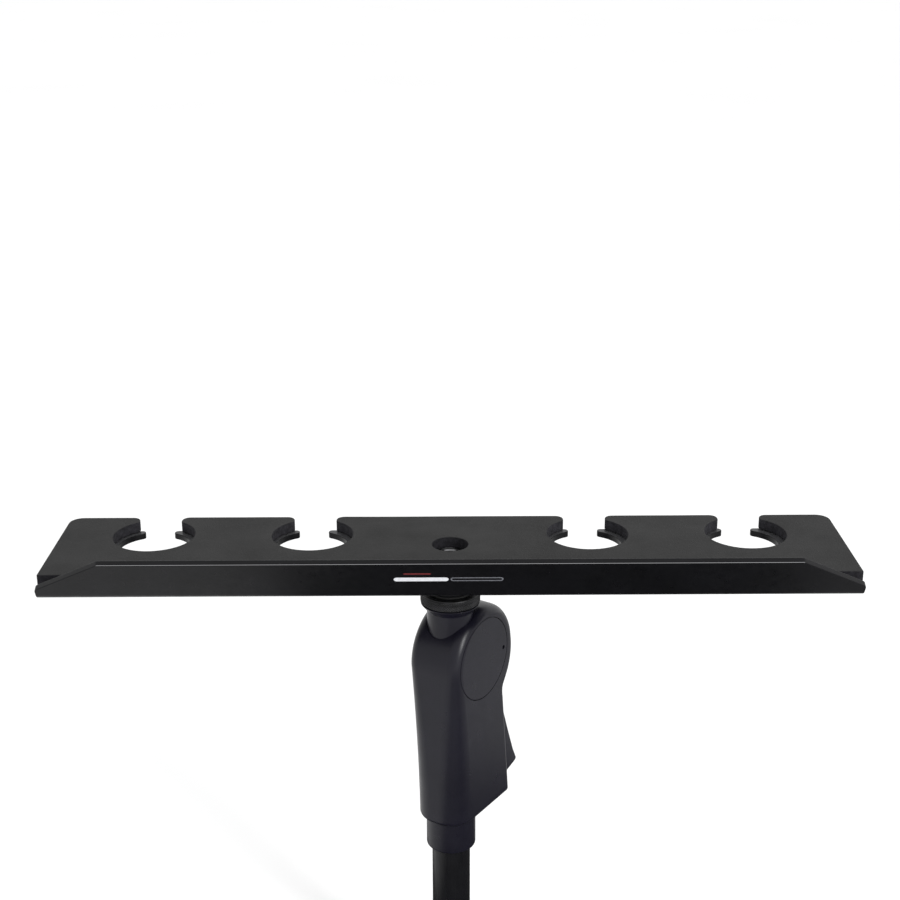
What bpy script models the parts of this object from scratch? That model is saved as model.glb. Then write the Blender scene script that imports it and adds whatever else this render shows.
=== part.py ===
"""Four-slot microphone tray on the one-hand grip of a microphone stand.

Metres, +Z up. The origin is at the lower end of the stand tube, on its axis.
+X runs along the tray, and -Y is the tray's front, where the lip is bent up.
The grip is modelled in a frame of its own: its X points from the tube to the
trigger, and that frame is turned about Z.
"""
import math

import bmesh
import bpy
from mathutils import Matrix

# ---------------------------------------------------------------- driving sizes
GAP = 0.0003                    # between pieces that touch
PAD_TOP = 0.300                 # height of the foam's upper face

# tray: a bent steel plate under a foam pad
PLATE_THICK = 0.0034
PAD_THICK = 0.0064
PAD_WIDTH = 0.430
PLATE_WIDTH = 0.4274
PAD_FRONT = -0.0390
PAD_BACK = 0.0409
PLATE_BACK = 0.0368
PAD_CORNER = 0.0075
PLATE_CORNER = 0.0110
HOLE_Y = 0.0148                 # centres of the microphone cut-outs
PAD_HOLE_X = (-0.1635, -0.0760, 0.0760, 0.1635)
PLATE_HOLE_X = (-0.1640, -0.0768, 0.0752, 0.1622)
PAD_HOLE_RADIUS = 0.0225
PAD_SLOT_HALF = 0.01185
PLATE_HOLE_RADIUS = 0.0200
PLATE_SLOT_HALF = 0.0082
NECK_ROUND = 0.0020             # where a cut-out's hole meets its slot
PAD_MOUTH_ROUND = 0.0045
PLATE_MOUTH_ROUND = 0.0022
CENTRE_HOLE_RADIUS = 0.0099

# lip: the front of the plate, bent up and leaning forwards
LIP_BEND_Y = -0.0439            # where the bend starts
LIP_BEND_INNER = 0.0020
LIP_ANGLE = math.radians(62)
LIP_LENGTH = 0.0240
LIP_END_LENGTH = 0.0040         # height left at the tray's ends
LIP_FULL_HALF = 0.1787          # the lip has its full height inside this

# 5/8 inch stand thread, drawn as plain cylinders
STUD_RADIUS = 0.0079375
BORE_RADIUS = 0.00825
BOSS_RADIUS = 0.0130
BOSS_SPIGOT_RADIUS = 0.0100
RING_RADIUS = 0.0166
RING_TOP = PAD_TOP - 0.0277
RING_HEIGHT = 0.0060
RING_EDGE = 0.0006              # chamfers of the ring
WASHER_THICK = 0.0011
STUD_TOP = PAD_TOP - 0.0105
STUD_CHAMFER = 0.0010
STUD_SPIGOT = 0.0240            # length pressed into the sliding tube

# stand tubes
TUBE_RADIUS = 0.0110
TUBE_WALL = 0.0012
MAST_RADIUS = 0.0080
MAST_WALL = 0.0012
RUNNING = 0.0003                # radial clearance of the sliding tube
MAST_BOTTOM = 0.0220
MAST_TOP = RING_TOP - 0.0113
FERRULE_LENGTH = 0.0180
PLUG_FLANGE = 0.0030
PLUG_LENGTH = 0.0180
PLUG_BORE = 0.0050
BUSH_FLANGE = 0.0022
BUSH_SPIGOT = 0.0120
COLLAR_RADIUS = 0.0142
COLLAR_LENGTH = 0.0197
COLLAR_ROUND = 0.0035
COLLAR_SCREW_DROP = 0.0085      # from the collar's top to its set screw
COLLAR_SCREW_RADIUS = 0.0017

# grip housing, in the grip's frame (X to the trigger, Y across, Z up)
GRIP_TURN = math.radians(56)
HALF_THICK = 0.0166
HEAD_RADIUS = 0.0306
HEAD_X = 0.0115
HEAD_Z = PAD_TOP - 0.0698
HEAD_ROUND = 0.0068
BASE_Z = PAD_TOP - 0.1680
FRONT_DRAFT = 0.0018            # how far the front leans in, head to base
FRONT_ROUND_GROWTH = 0.0075     # the front grows rounder towards the base
BACK_ROUND = 0.0030
BASE_ROUND = 0.0030
WAIST_X = 0.0310
WAIST_Z = PAD_TOP - 0.1020
BASE_BACK_X = 0.0381
WAIST_BLEND = 0.0040

CAVITY_HALF = 0.0130
CAVITY_TOP = PAD_TOP - 0.0576
CAVITY_FLOOR = PAD_TOP - 0.1340
CAVITY_FRONT = -0.0156
CAVITY_NARROW = -0.0105         # front of the room below the fulcrum
CAVITY_BACK = 0.0270
CAVITY_RADIUS = 0.0274
CAVITY_CORNER = 0.0030
SLOT_HALF = 0.0101
SLOT_FRONT = 0.0190
SLOT_TOP = PAD_TOP - 0.0820
TUBE_TOP = PAD_TOP - 0.1400

CAP_X = 0.0095
CAP_Z = PAD_TOP - 0.0690
CAP_RADIUS = 0.0240
CAP_RECESS = 0.0016

# trigger
PIVOT_X = 0.0294
PIVOT_Z = PAD_TOP - 0.0701
PIN_RADIUS = 0.0015
TRIGGER_HALF = 0.0093
TRIGGER_BOSS_RADIUS = 0.0050
NOSE_TIP_X = 0.0135
NOSE_TOP_Z = PAD_TOP - 0.0903
TRIGGER_EDGE = 0.0012
TRIGGER_SHAPE = (               # the lever's side view: X, and Z from the foam's top
    (0.0334, -0.0742), (0.0362, -0.0960), (0.0392, -0.1080), (0.0434, -0.1210),
    (0.0486, -0.1355), (0.0539, -0.1496), (0.0576, -0.1572), (0.0574, -0.1586),
    (0.0559, -0.1596), (0.0460, -0.1622), (0.0442, -0.1616), (0.0406, -0.1500),
    (0.0360, -0.1350), (0.0318, -0.1200), (0.0288, -0.1080), (0.0270, -0.0990),
    (0.0225, -0.0955))
PIN_HALF = 0.0147
SPACER_RADIUS = 0.0042
TRIGGER_WIRE = 0.0004           # radius of the trigger spring's wire
TRIGGER_COIL_RADIUS = 0.0028
TRIGGER_COIL_START = 0.0102
TRIGGER_COIL_PITCH = 0.0009
TRIGGER_COIL_TURNS = 2.5
TRIGGER_LEG_UPPER = 0.0075
TRIGGER_LEG_LOWER = 0.0058

# lock plates that grip the sliding tube
FULCRUM_X = -0.0145
FULCRUM_Z = PAD_TOP - 0.0862
PLATE_TILT = math.radians(7)
LOCK_LENGTH = 0.0320
LOCK_HALF = 0.0120
LOCK_THICK = 0.0022
LOCK_PITCH = 0.0025
LOCK_HOLE = 0.0087
LOCK_CORNER = 0.0030
HOLE_TILT = PLATE_TILT * 0.65   # tilt at which the holes stand round the tube
CAVITY_STEP_LOW = FULCRUM_Z - 0.0130
CAVITY_STEP_HIGH = FULCRUM_Z - 0.0100
INSERT_FACE_X = -0.0126
INSERT_HALF = 0.0070
INSERT_BOTTOM = FULCRUM_Z - 0.0090
INSERT_TOP = FULCRUM_Z - 0.0004

# spring that holds the lock plates down, and its washer
SPRING_WIRE = 0.0008
SPRING_RADIUS = 0.0101
SPRING_LOW = PAD_TOP - 0.0779
SPRING_HIGH = PAD_TOP - 0.0599
SPRING_TURNS = 4.5
SEAT_RADIUS = 0.0122
SEAT_THICK = 0.0013

# neck bush: a sleeve that flares out under the lock ring
NECK_RADIUS = 0.0130
NECK_FLARE_RADIUS = 0.0163
NECK_TOP = RING_TOP - RING_HEIGHT - 0.0004
NECK_RIM = 0.0004               # height of the flare's upright rim
NECK_FLARE_FOOT = RING_TOP - 0.0108
NECK_BOTTOM = PAD_TOP - 0.0570

ROUND_STEPS = 48
SMALL_STEPS = 32
ARC_STEP = math.radians(12)


# ---------------------------------------------------------------- scene
def clear_scene():
    for item in list(bpy.data.objects):
        bpy.data.objects.remove(item, do_unlink=True)


def new_collection(name):
    made = bpy.data.collections.new(name)
    bpy.context.scene.collection.children.link(made)
    return made


clear_scene()
PARTS = new_collection("microphone_tray")
CUTTERS = new_collection("cutters")


def new_material(name, colour, roughness, metallic=0.0):
    made = bpy.data.materials.new(name)
    made.use_nodes = True
    shader = made.node_tree.nodes["Principled BSDF"]
    shader.inputs["Base Color"].default_value = (*colour, 1.0)
    shader.inputs["Roughness"].default_value = roughness
    shader.inputs["Metallic"].default_value = metallic
    made.diffuse_color = (*colour, 1.0)
    return made


POWDER_COAT = new_material("powder_coated_steel", (0.010, 0.010, 0.012), 0.42)
FOAM = new_material("foam", (0.050, 0.050, 0.052), 0.95)
NYLON = new_material("black_nylon", (0.022, 0.020, 0.026), 0.50)
RING_METAL = new_material("black_zinc", (0.030, 0.030, 0.031), 0.45, 0.6)
RUBBER = new_material("rubber", (0.010, 0.010, 0.010), 0.85)
TUBE_PAINT = new_material("tube_paint", (0.014, 0.014, 0.016), 0.35)
PLATED_STEEL = new_material("plated_steel", (0.55, 0.55, 0.54), 0.30, 1.0)
SPRING_STEEL = new_material("spring_steel", (0.42, 0.42, 0.43), 0.35, 1.0)
ACETAL = new_material("acetal", (0.30, 0.30, 0.29), 0.45)


# ---------------------------------------------------------------- helpers
def link_mesh(name, mesh, material, collection=None):
    made = bpy.data.objects.new(name, mesh)
    (collection or PARTS).objects.link(made)
    if material:
        mesh.materials.clear()
        mesh.materials.append(material)
    return made


def hide_cutter(item):
    for owner in list(item.users_collection):
        owner.objects.unlink(item)
    CUTTERS.objects.link(item)
    item.hide_render = True
    item.display_type = "WIRE"
    return item


def smooth(item, angle=35):
    item.data.shade_smooth()
    item.data.set_sharp_from_angle(angle=math.radians(angle))
    return item


def arc(centre, radius, start, end):
    """Points of an arc, both ends included."""
    steps = max(2, math.ceil(abs(end - start) / ARC_STEP))
    points = []
    for index in range(steps + 1):
        angle = start + (end - start) * index / steps
        points.append((centre[0] + radius * math.cos(angle),
                       centre[1] + radius * math.sin(angle)))
    return points


def curve_to_mesh(curve_object, name):
    """The curve as a closed mesh, with its loose caps welded."""
    bpy.context.view_layer.update()
    evaluated = curve_object.evaluated_get(bpy.context.evaluated_depsgraph_get())
    mesh = bpy.data.meshes.new_from_object(evaluated)
    mesh.transform(curve_object.matrix_world)
    work = bmesh.new()
    work.from_mesh(mesh)
    bmesh.ops.remove_doubles(work, verts=work.verts, dist=0.00001)
    bmesh.ops.recalc_face_normals(work, faces=work.faces)
    work.to_mesh(mesh)
    work.free()
    mesh.name = name
    curve = curve_object.data
    bpy.data.objects.remove(curve_object, do_unlink=True)
    bpy.data.curves.remove(curve)
    return mesh


AXES = {
    "X": Matrix(((0, 0, 1), (1, 0, 0), (0, 1, 0))).to_4x4(),    # outline in Y, Z
    "Y": Matrix(((1, 0, 0), (0, 0, -1), (0, 1, 0))).to_4x4(),   # outline in X, Z
    "Z": Matrix.Identity(4),                                    # outline in X, Y
}


def prism(name, outline, low, high, axis, material=None):
    """A flat outline pushed along an axis, from low to high."""
    curve = bpy.data.curves.new(name, "CURVE")
    curve.dimensions = "2D"
    curve.fill_mode = "BOTH"
    curve.extrude = (high - low) / 2
    spline = curve.splines.new("POLY")
    spline.points.add(len(outline) - 1)
    for point, (across, up) in zip(spline.points, outline):
        point.co = (across, up, 0, 1)
    spline.use_cyclic_u = True
    item = bpy.data.objects.new(name, curve)
    PARTS.objects.link(item)
    middle = (high + low) / 2
    if axis == "Y":
        middle = -middle
    item.matrix_world = AXES[axis] @ Matrix.Translation((0, 0, middle))
    return link_mesh(name, curve_to_mesh(item, name), material)


def turned(name, profile, material=None, steps=ROUND_STEPS):
    """A turned piece: profile points (radius, height), down the outer side first."""
    work = bmesh.new()
    corners = [work.verts.new((radius, 0, height)) for radius, height in profile]
    closed = profile[0][0] > 0 or profile[-1][0] > 0
    for index in range(len(corners) - (0 if closed else 1)):
        work.edges.new((corners[index], corners[(index + 1) % len(corners)]))
    mesh = bpy.data.meshes.new(name)
    work.to_mesh(mesh)
    work.free()
    made = link_mesh(name, mesh, material)
    screw = made.modifiers.new("turn", "SCREW")
    screw.axis = "Z"
    screw.angle = math.tau
    screw.steps = steps
    screw.render_steps = steps
    screw.use_merge_vertices = True
    screw.merge_threshold = 0.00001
    screw.use_smooth_shade = False
    return made


def tube_profile(outer, inner, top, bottom):
    return [(outer, top), (outer, bottom), (inner, bottom), (inner, top)]


def cylinder(name, radius, low, high, material=None, steps=SMALL_STEPS):
    return turned(name, [(0, high), (radius, high), (radius, low), (0, low)], material, steps)


def boolean(item, tool, operation="DIFFERENCE"):
    change = item.modifiers.new(tool.name, "BOOLEAN")
    change.object = tool
    change.operation = operation
    change.solver = "EXACT"
    hide_cutter(tool)
    return item


def across(item, x, z, y=0.0):
    """Turn an upright piece to lie along Y, with its middle at x, y, z."""
    item.rotation_euler = (math.radians(90), 0, 0)
    item.location = (x, y, z)
    return item


def wire(name, points, radius, material):
    curve = bpy.data.curves.new(name, "CURVE")
    curve.dimensions = "3D"
    curve.bevel_depth = radius
    curve.bevel_resolution = 2
    curve.use_fill_caps = True
    spline = curve.splines.new("POLY")
    spline.points.add(len(points) - 1)
    for point, place in zip(spline.points, points):
        point.co = (*place, 1)
    item = bpy.data.objects.new(name, curve)
    PARTS.objects.link(item)
    return link_mesh(name, curve_to_mesh(item, name), material)


# ---------------------------------------------------------------- tray
def cut_out(centre_x, radius, slot_half, edge_y, mouth_round):
    """Edge of one cut-out, from the back edge round the hole and out again."""
    neck_x = slot_half + NECK_ROUND
    neck_y = HOLE_Y + math.sqrt((radius + NECK_ROUND) ** 2 - neck_x ** 2)
    lean = math.atan2(neck_y - HOLE_Y, neck_x)
    mouth = arc((slot_half + mouth_round, edge_y - mouth_round), mouth_round,
                math.pi / 2, math.pi)
    neck = arc((neck_x, neck_y), NECK_ROUND, math.pi, math.pi + lean)
    half = mouth + neck
    hole = arc((0, HOLE_Y), radius, lean, -math.pi - lean)[1:-1]
    left = [(-x, y) for x, y in reversed(half)]
    return [(centre_x + x, y) for x, y in half + hole + left]


def tray_outline(width, front, back, corner, hole_x, radius, slot_half, mouth_round):
    """Plan of the foam or the plate, clockwise from the front left corner."""
    half = width / 2
    points = [(-half, front)]
    points += arc((-half + corner, back - corner), corner, math.pi, math.pi / 2)
    for centre_x in hole_x:
        edge = cut_out(centre_x, radius, slot_half, back, mouth_round)
        points += reversed(edge)
    points += arc((half - corner, back - corner), corner, math.pi / 2, 0)
    points.append((half, front))
    return points


def lip_direction():
    return (-math.cos(LIP_ANGLE), math.sin(LIP_ANGLE))


def plate_section():
    """Section of the bent plate in Y and Z."""
    top = PAD_TOP - PAD_THICK - GAP
    bottom = top - PLATE_THICK
    centre = (LIP_BEND_Y, top + LIP_BEND_INNER)
    start = -math.pi / 2
    end = start - LIP_ANGLE
    outer = arc(centre, LIP_BEND_INNER + PLATE_THICK, start, end)
    inner = arc(centre, LIP_BEND_INNER, end, start)
    along = lip_direction()
    lip_outer = (outer[-1][0] + along[0] * LIP_LENGTH, outer[-1][1] + along[1] * LIP_LENGTH)
    lip_inner = (inner[0][0] + along[0] * LIP_LENGTH, inner[0][1] + along[1] * LIP_LENGTH)
    beyond = PLATE_BACK + 0.010
    return [(beyond, bottom)] + outer + [lip_outer, lip_inner] + inner + [(beyond, top)]


def lip_end_cutter(side):
    """Takes the sloped corner off one end of the lip."""
    top = PAD_TOP - PAD_THICK - GAP
    along = lip_direction()
    centre = (LIP_BEND_Y, top + LIP_BEND_INNER)
    outer = LIP_BEND_INNER + PLATE_THICK
    foot = (centre[0] - outer * math.sin(LIP_ANGLE), centre[1] - outer * math.cos(LIP_ANGLE))
    reach = 0.010
    half = PLATE_WIDTH / 2
    slope = (LIP_LENGTH - LIP_END_LENGTH) / (half - LIP_FULL_HALF)
    outline = [(LIP_FULL_HALF - reach, LIP_LENGTH + reach * slope),
               (half + reach, LIP_END_LENGTH - reach * slope),
               (half + reach, LIP_LENGTH + reach * slope)]
    outline = [(side * x, rise) for x, rise in outline]
    cutter = prism(f"lip_end_cutter_{'left' if side < 0 else 'right'}",
                   outline, -0.010, 0.010, "Z")
    forward = (0, along[0], along[1])
    normal = (0, -along[1], along[0])
    cutter.matrix_world = Matrix(((1, forward[0], normal[0], 0),
                                  (0, forward[1], normal[1], foot[0]),
                                  (0, forward[2], normal[2], foot[1]),
                                  (0, 0, 0, 1)))
    return cutter


def build_tray():
    top = PAD_TOP - PAD_THICK - GAP
    bottom = top - PLATE_THICK
    half = PLATE_WIDTH / 2
    plate = prism("tray_plate", plate_section(), -half - 0.010, half + 0.010, "X", POWDER_COAT)
    plan = prism("plate_plan",
                 tray_outline(PLATE_WIDTH, -0.080, PLATE_BACK, PLATE_CORNER,
                              PLATE_HOLE_X, PLATE_HOLE_RADIUS, PLATE_SLOT_HALF, PLATE_MOUTH_ROUND),
                 bottom - 0.010, PAD_TOP + 0.040, "Z")
    boolean(plate, plan, "INTERSECT")
    for side in (-1, 1):
        boolean(plate, lip_end_cutter(side))
    boolean(plate, cylinder("boss_hole", BOSS_SPIGOT_RADIUS + GAP, bottom - 0.005, top + 0.005,
                            steps=ROUND_STEPS))

    pad = prism("foam_pad",
                tray_outline(PAD_WIDTH, PAD_FRONT, PAD_BACK, PAD_CORNER,
                             PAD_HOLE_X, PAD_HOLE_RADIUS, PAD_SLOT_HALF, PAD_MOUTH_ROUND),
                PAD_TOP - PAD_THICK, PAD_TOP, "Z", FOAM)
    boolean(pad, cylinder("pad_hole", CENTRE_HOLE_RADIUS, PAD_TOP - 0.010, PAD_TOP + 0.010,
                          steps=ROUND_STEPS))

    shoulder = bottom - GAP
    foot = RING_TOP + WASHER_THICK + 2 * GAP
    turned("thread_boss",
           [(BOSS_SPIGOT_RADIUS, top - GAP),
            (BOSS_SPIGOT_RADIUS, shoulder),
            (BOSS_RADIUS, shoulder),
            (BOSS_RADIUS, foot),
            (BORE_RADIUS, foot),
            (BORE_RADIUS, top - GAP)], POWDER_COAT)


# ---------------------------------------------------------------- lock ring
def build_lock_ring():
    turned("lock_ring_washer",
           tube_profile(BOSS_RADIUS, BORE_RADIUS, RING_TOP + GAP + WASHER_THICK, RING_TOP + GAP),
           RUBBER, SMALL_STEPS)
    foot = RING_TOP - RING_HEIGHT
    turned("lock_ring",
           [(RING_RADIUS - RING_EDGE, RING_TOP),
            (RING_RADIUS, RING_TOP - RING_EDGE),
            (RING_RADIUS, foot + RING_EDGE / 2),
            (RING_RADIUS - RING_EDGE / 2, foot),
            (BORE_RADIUS, foot),
            (BORE_RADIUS, RING_TOP)], RING_METAL)


# ---------------------------------------------------------------- sliding tube
def build_mast():
    bore = MAST_RADIUS - MAST_WALL
    turned("inner_tube", tube_profile(MAST_RADIUS, bore, MAST_TOP, MAST_BOTTOM), TUBE_PAINT)
    shoulder = MAST_TOP + GAP
    turned("thread_stud",
           [(0, STUD_TOP),
            (STUD_RADIUS - STUD_CHAMFER, STUD_TOP),
            (STUD_RADIUS, STUD_TOP - STUD_CHAMFER),
            (STUD_RADIUS, shoulder),
            (bore - GAP, shoulder),
            (bore - GAP, shoulder - STUD_SPIGOT),
            (0, shoulder - STUD_SPIGOT)], PLATED_STEEL)
    ferrule_radius = TUBE_RADIUS - TUBE_WALL - RUNNING
    ferrule_low = MAST_BOTTOM - 0.0010
    turned("inner_tube_ferrule",
           tube_profile(ferrule_radius, MAST_RADIUS + GAP,
                        ferrule_low + FERRULE_LENGTH, ferrule_low), ACETAL, SMALL_STEPS)


# ---------------------------------------------------------------- outer tube
def build_outer_tube():
    bore = TUBE_RADIUS - TUBE_WALL
    turned("outer_tube",
           tube_profile(TUBE_RADIUS, bore, TUBE_TOP, PLUG_FLANGE + GAP), TUBE_PAINT)
    turned("tube_end_plug",
           [(bore - GAP, PLUG_LENGTH),
            (bore - GAP, PLUG_FLANGE),
            (TUBE_RADIUS, PLUG_FLANGE),
            (TUBE_RADIUS, 0),
            (PLUG_BORE, 0),
            (PLUG_BORE, PLUG_LENGTH)], PLATED_STEEL, SMALL_STEPS)
    flange = TUBE_TOP + GAP
    turned("lower_bush",
           [(TUBE_RADIUS, flange + BUSH_FLANGE),
            (TUBE_RADIUS, flange),
            (bore - GAP, flange),
            (bore - GAP, flange - BUSH_SPIGOT),
            (MAST_RADIUS + RUNNING, flange - BUSH_SPIGOT),
            (MAST_RADIUS + RUNNING, flange + BUSH_FLANGE)], ACETAL, SMALL_STEPS)

    collar_top = BASE_Z - GAP
    collar_low = collar_top - COLLAR_LENGTH
    inner = TUBE_RADIUS + GAP
    rounding = arc((COLLAR_RADIUS - COLLAR_ROUND * 0.7, collar_low + COLLAR_ROUND),
                   COLLAR_ROUND, 0, -math.pi / 2)
    rounding = [(min(COLLAR_RADIUS, r), z) for r, z in rounding if r >= inner + 0.0002]
    collar = turned("collar",
                    [(COLLAR_RADIUS, collar_top), (COLLAR_RADIUS, collar_low + COLLAR_ROUND + 0.001)]
                    + rounding + [(inner, collar_low), (inner, collar_top)], NYLON)
    screw_z = collar_top - COLLAR_SCREW_DROP
    hole = cylinder("collar_screw_hole", COLLAR_SCREW_RADIUS + GAP, -0.010, 0.010, steps=16)
    place_radial(hole, screw_z, COLLAR_RADIUS)
    boolean(collar, hole)
    screw = cylinder("collar_screw", COLLAR_SCREW_RADIUS, -0.0012, 0.0012, PLATED_STEEL, 16)
    place_radial(screw, screw_z, inner + 0.0013)


def place_radial(item, height, distance):
    """Lay an upright piece along the grip's X, at a distance from the tube's axis."""
    heading = Matrix.Rotation(GRIP_TURN, 4, "Z")
    item.matrix_world = (heading @ Matrix.Translation((distance, 0, height))
                         @ Matrix.Rotation(math.pi / 2, 4, "Y"))


# ---------------------------------------------------------------- grip housing
def ease(fraction):
    return 1 - (1 - fraction) ** 1.6


def head_half_width(height):
    rise = abs(height - HEAD_Z)
    return math.sqrt(max(0.0, HEAD_RADIUS ** 2 - rise ** 2))


def front_x(height):
    if height > HEAD_Z:
        return HEAD_X - head_half_width(height)
    return HEAD_X - HEAD_RADIUS + FRONT_DRAFT * ease((HEAD_Z - height) / (HEAD_Z - BASE_Z))


def back_x(height):
    """The head's circle, blended into the line that runs out to the base."""
    head = HEAD_X + head_half_width(height)
    slope = (BASE_BACK_X - WAIST_X) / (WAIST_Z - BASE_Z)
    line = WAIST_X + (WAIST_Z - height) * slope
    if height > HEAD_Z:
        return head
    return (head + line + math.hypot(head - line, WAIST_BLEND)) / 2


def front_round(height):
    if height > HEAD_Z:
        return HEAD_ROUND
    return HEAD_ROUND + FRONT_ROUND_GROWTH * ease((HEAD_Z - height) / (HEAD_Z - BASE_Z))


def back_round(height):
    if height > HEAD_Z:
        return HEAD_ROUND
    fraction = min(1.0, (HEAD_Z - height) / (HEAD_Z - WAIST_Z))
    return HEAD_ROUND + (BACK_ROUND - HEAD_ROUND) * fraction


def section(height, inset, steps=7):
    """One level outline of the housing, as a list of points."""
    low, high = front_x(height) + inset, back_x(height) - inset
    half = HALF_THICK - inset
    front, back = front_round(height), back_round(height)
    depth = HEAD_Z + HEAD_RADIUS - height
    stretch = 1.0
    if height > HEAD_Z:
        stretch = HEAD_RADIUS / max(head_half_width(height), 0.0001)
    if depth < HEAD_ROUND:
        left = HEAD_ROUND - depth
        half = HALF_THICK - HEAD_ROUND + math.sqrt(HEAD_ROUND ** 2 - left ** 2)
    room = (high - low) / 2 * 0.96
    corners = []
    for radius, x_sign in ((front, -1), (back, 1)):
        wide = min(max(radius - inset, 0.0008) * stretch, room)
        deep = min(max(radius - inset, 0.0008), half * 0.96)
        edge = low if x_sign < 0 else high
        corners.append((edge - x_sign * wide, x_sign, wide, deep))
    points = []
    for (centre_x, x_sign, wide, deep), y_sign in (
            (corners[0], -1), (corners[1], -1), (corners[1], 1), (corners[0], 1)):
        turn = [index / steps * math.pi / 2 for index in range(steps + 1)]
        if x_sign * y_sign < 0:
            turn.reverse()
        for angle in turn:
            points.append((centre_x + x_sign * wide * math.cos(angle),
                           y_sign * (half - deep + deep * math.sin(angle)), height))
    if points[0][1] > points[len(points) // 2][1]:
        points.reverse()
    return points


def housing_levels():
    """Heights and insets of the housing's sections, from the base up."""
    levels = []
    for index in range(4):
        angle = index / 4 * math.pi / 2
        levels.append((BASE_Z + BASE_ROUND * (1 - math.cos(angle)),
                       BASE_ROUND * (1 - math.sin(angle))))
    straight_low = BASE_Z + BASE_ROUND
    straight_high = WAIST_Z - 0.002
    for index in range(5):
        levels.append((straight_low + (straight_high - straight_low) * index / 4, 0.0))
    for drop in (0.0285, 0.0255, 0.0220, 0.0180, 0.0120, 0.0060, 0.0):
        levels.append((HEAD_Z - drop, 0.0))
    for degrees in (12, 24, 35, 45, 54, 62, 69, 75, 80, 84, 87):
        levels.append((HEAD_Z + HEAD_RADIUS * math.sin(math.radians(degrees)), 0.0))
    return levels


def loft(name, rings, material):
    work = bmesh.new()
    rows = [[work.verts.new(point) for point in ring] for ring in rings]
    for lower, upper in zip(rows, rows[1:]):
        for index in range(len(lower)):
            following = (index + 1) % len(lower)
            work.faces.new((lower[index], lower[following], upper[following], upper[index]))
    work.faces.new(list(reversed(rows[0])))
    work.faces.new(rows[-1])
    bmesh.ops.recalc_face_normals(work, faces=work.faces)
    mesh = bpy.data.meshes.new(name)
    work.to_mesh(mesh)
    work.free()
    return link_mesh(name, mesh, material)


def cavity_outline():
    """Side view of the room inside the housing."""
    reach = CAVITY_TOP - HEAD_Z
    start = math.asin(reach / CAVITY_RADIUS)
    end = -math.acos((CAVITY_BACK - HEAD_X) / CAVITY_RADIUS)
    return ([(CAVITY_FRONT + CAVITY_CORNER, CAVITY_TOP)]
            + arc((HEAD_X, HEAD_Z), CAVITY_RADIUS, start, end)
            + [(CAVITY_BACK, CAVITY_FLOOR),
               (CAVITY_NARROW, CAVITY_FLOOR),
               (CAVITY_NARROW, CAVITY_STEP_LOW),
               (CAVITY_FRONT, CAVITY_STEP_HIGH),
               (CAVITY_FRONT, CAVITY_TOP - 2 * CAVITY_CORNER)])


def build_housing(frame):
    housing = loft("grip_housing", [section(*level) for level in housing_levels()], NYLON)
    cavity = prism("cavity", cavity_outline(), -CAVITY_HALF, CAVITY_HALF, "Y")
    neck_bore = cylinder("neck_bore", NECK_RADIUS + GAP, CAVITY_TOP - 0.003, PAD_TOP,
                         steps=ROUND_STEPS)
    tube_bore = cylinder("tube_bore", TUBE_RADIUS + GAP, BASE_Z - 0.010, CAVITY_FLOOR + 0.005,
                         steps=ROUND_STEPS)
    slot = prism("trigger_slot",
                 [(SLOT_FRONT, BASE_Z - 0.010), (0.080, BASE_Z - 0.010),
                  (0.080, SLOT_TOP), (SLOT_FRONT, SLOT_TOP)], -SLOT_HALF, SLOT_HALF, "Y")
    recesses = []
    for side in (-1, 1):
        recess = cylinder(f"cap_recess_{side}", CAP_RADIUS, -0.010, 0.010, steps=ROUND_STEPS)
        across(recess, CAP_X, CAP_Z, side * (HALF_THICK - CAP_RECESS + 0.010))
        recesses.append(recess)
    pin_hole = across(cylinder("pin_hole", PIN_RADIUS + GAP, -0.030, 0.030, steps=16),
                      PIVOT_X, PIVOT_Z)
    tools = [cavity, neck_bore, tube_bore, slot, pin_hole] + recesses
    for tool in tools:
        tool.parent = frame
        boolean(housing, tool)
    housing.parent = frame

    for side, label in ((-1, "right"), (1, "left")):
        thick = CAP_RECESS - GAP
        cap = cylinder(f"side_cap_{label}", CAP_RADIUS - GAP, -thick / 2, thick / 2, NYLON,
                       ROUND_STEPS)
        across(cap, CAP_X, CAP_Z, side * (HALF_THICK - thick / 2))
        cap.parent = frame
        hole = across(cylinder(f"cap_hole_{label}", 0.0012, -0.010, 0.010, steps=16),
                      PIVOT_X, PIVOT_Z, side * HALF_THICK)
        hole.parent = frame
        boolean(cap, hole)

    bore = MAST_RADIUS + RUNNING
    neck = turned("neck_bush",
                  [(NECK_FLARE_RADIUS, NECK_TOP), (NECK_FLARE_RADIUS, NECK_TOP - NECK_RIM),
                   (NECK_RADIUS, NECK_FLARE_FOOT), (NECK_RADIUS, NECK_BOTTOM),
                   (bore, NECK_BOTTOM), (bore, NECK_TOP)], NYLON)
    neck.parent = frame


# ---------------------------------------------------------------- trigger
def trigger_outline():
    """Side view of the lever, with its nose, about the pivot."""
    nose_top = NOSE_TOP_Z - PAD_TOP
    nose = [(NOSE_TIP_X + 0.0020, nose_top - 0.0036), (NOSE_TIP_X, nose_top - 0.0020),
            (NOSE_TIP_X + 0.0010, nose_top - 0.0003), (NOSE_TIP_X + 0.0030, nose_top),
            (0.0215, nose_top), (0.0250, nose_top + 0.0050)]
    boss = arc((PIVOT_X, PIVOT_Z - PAD_TOP), TRIGGER_BOSS_RADIUS,
               math.radians(200), math.radians(-10))
    return [(x - PIVOT_X, z + PAD_TOP - PIVOT_Z) for x, z in list(TRIGGER_SHAPE) + nose + boss]


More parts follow.
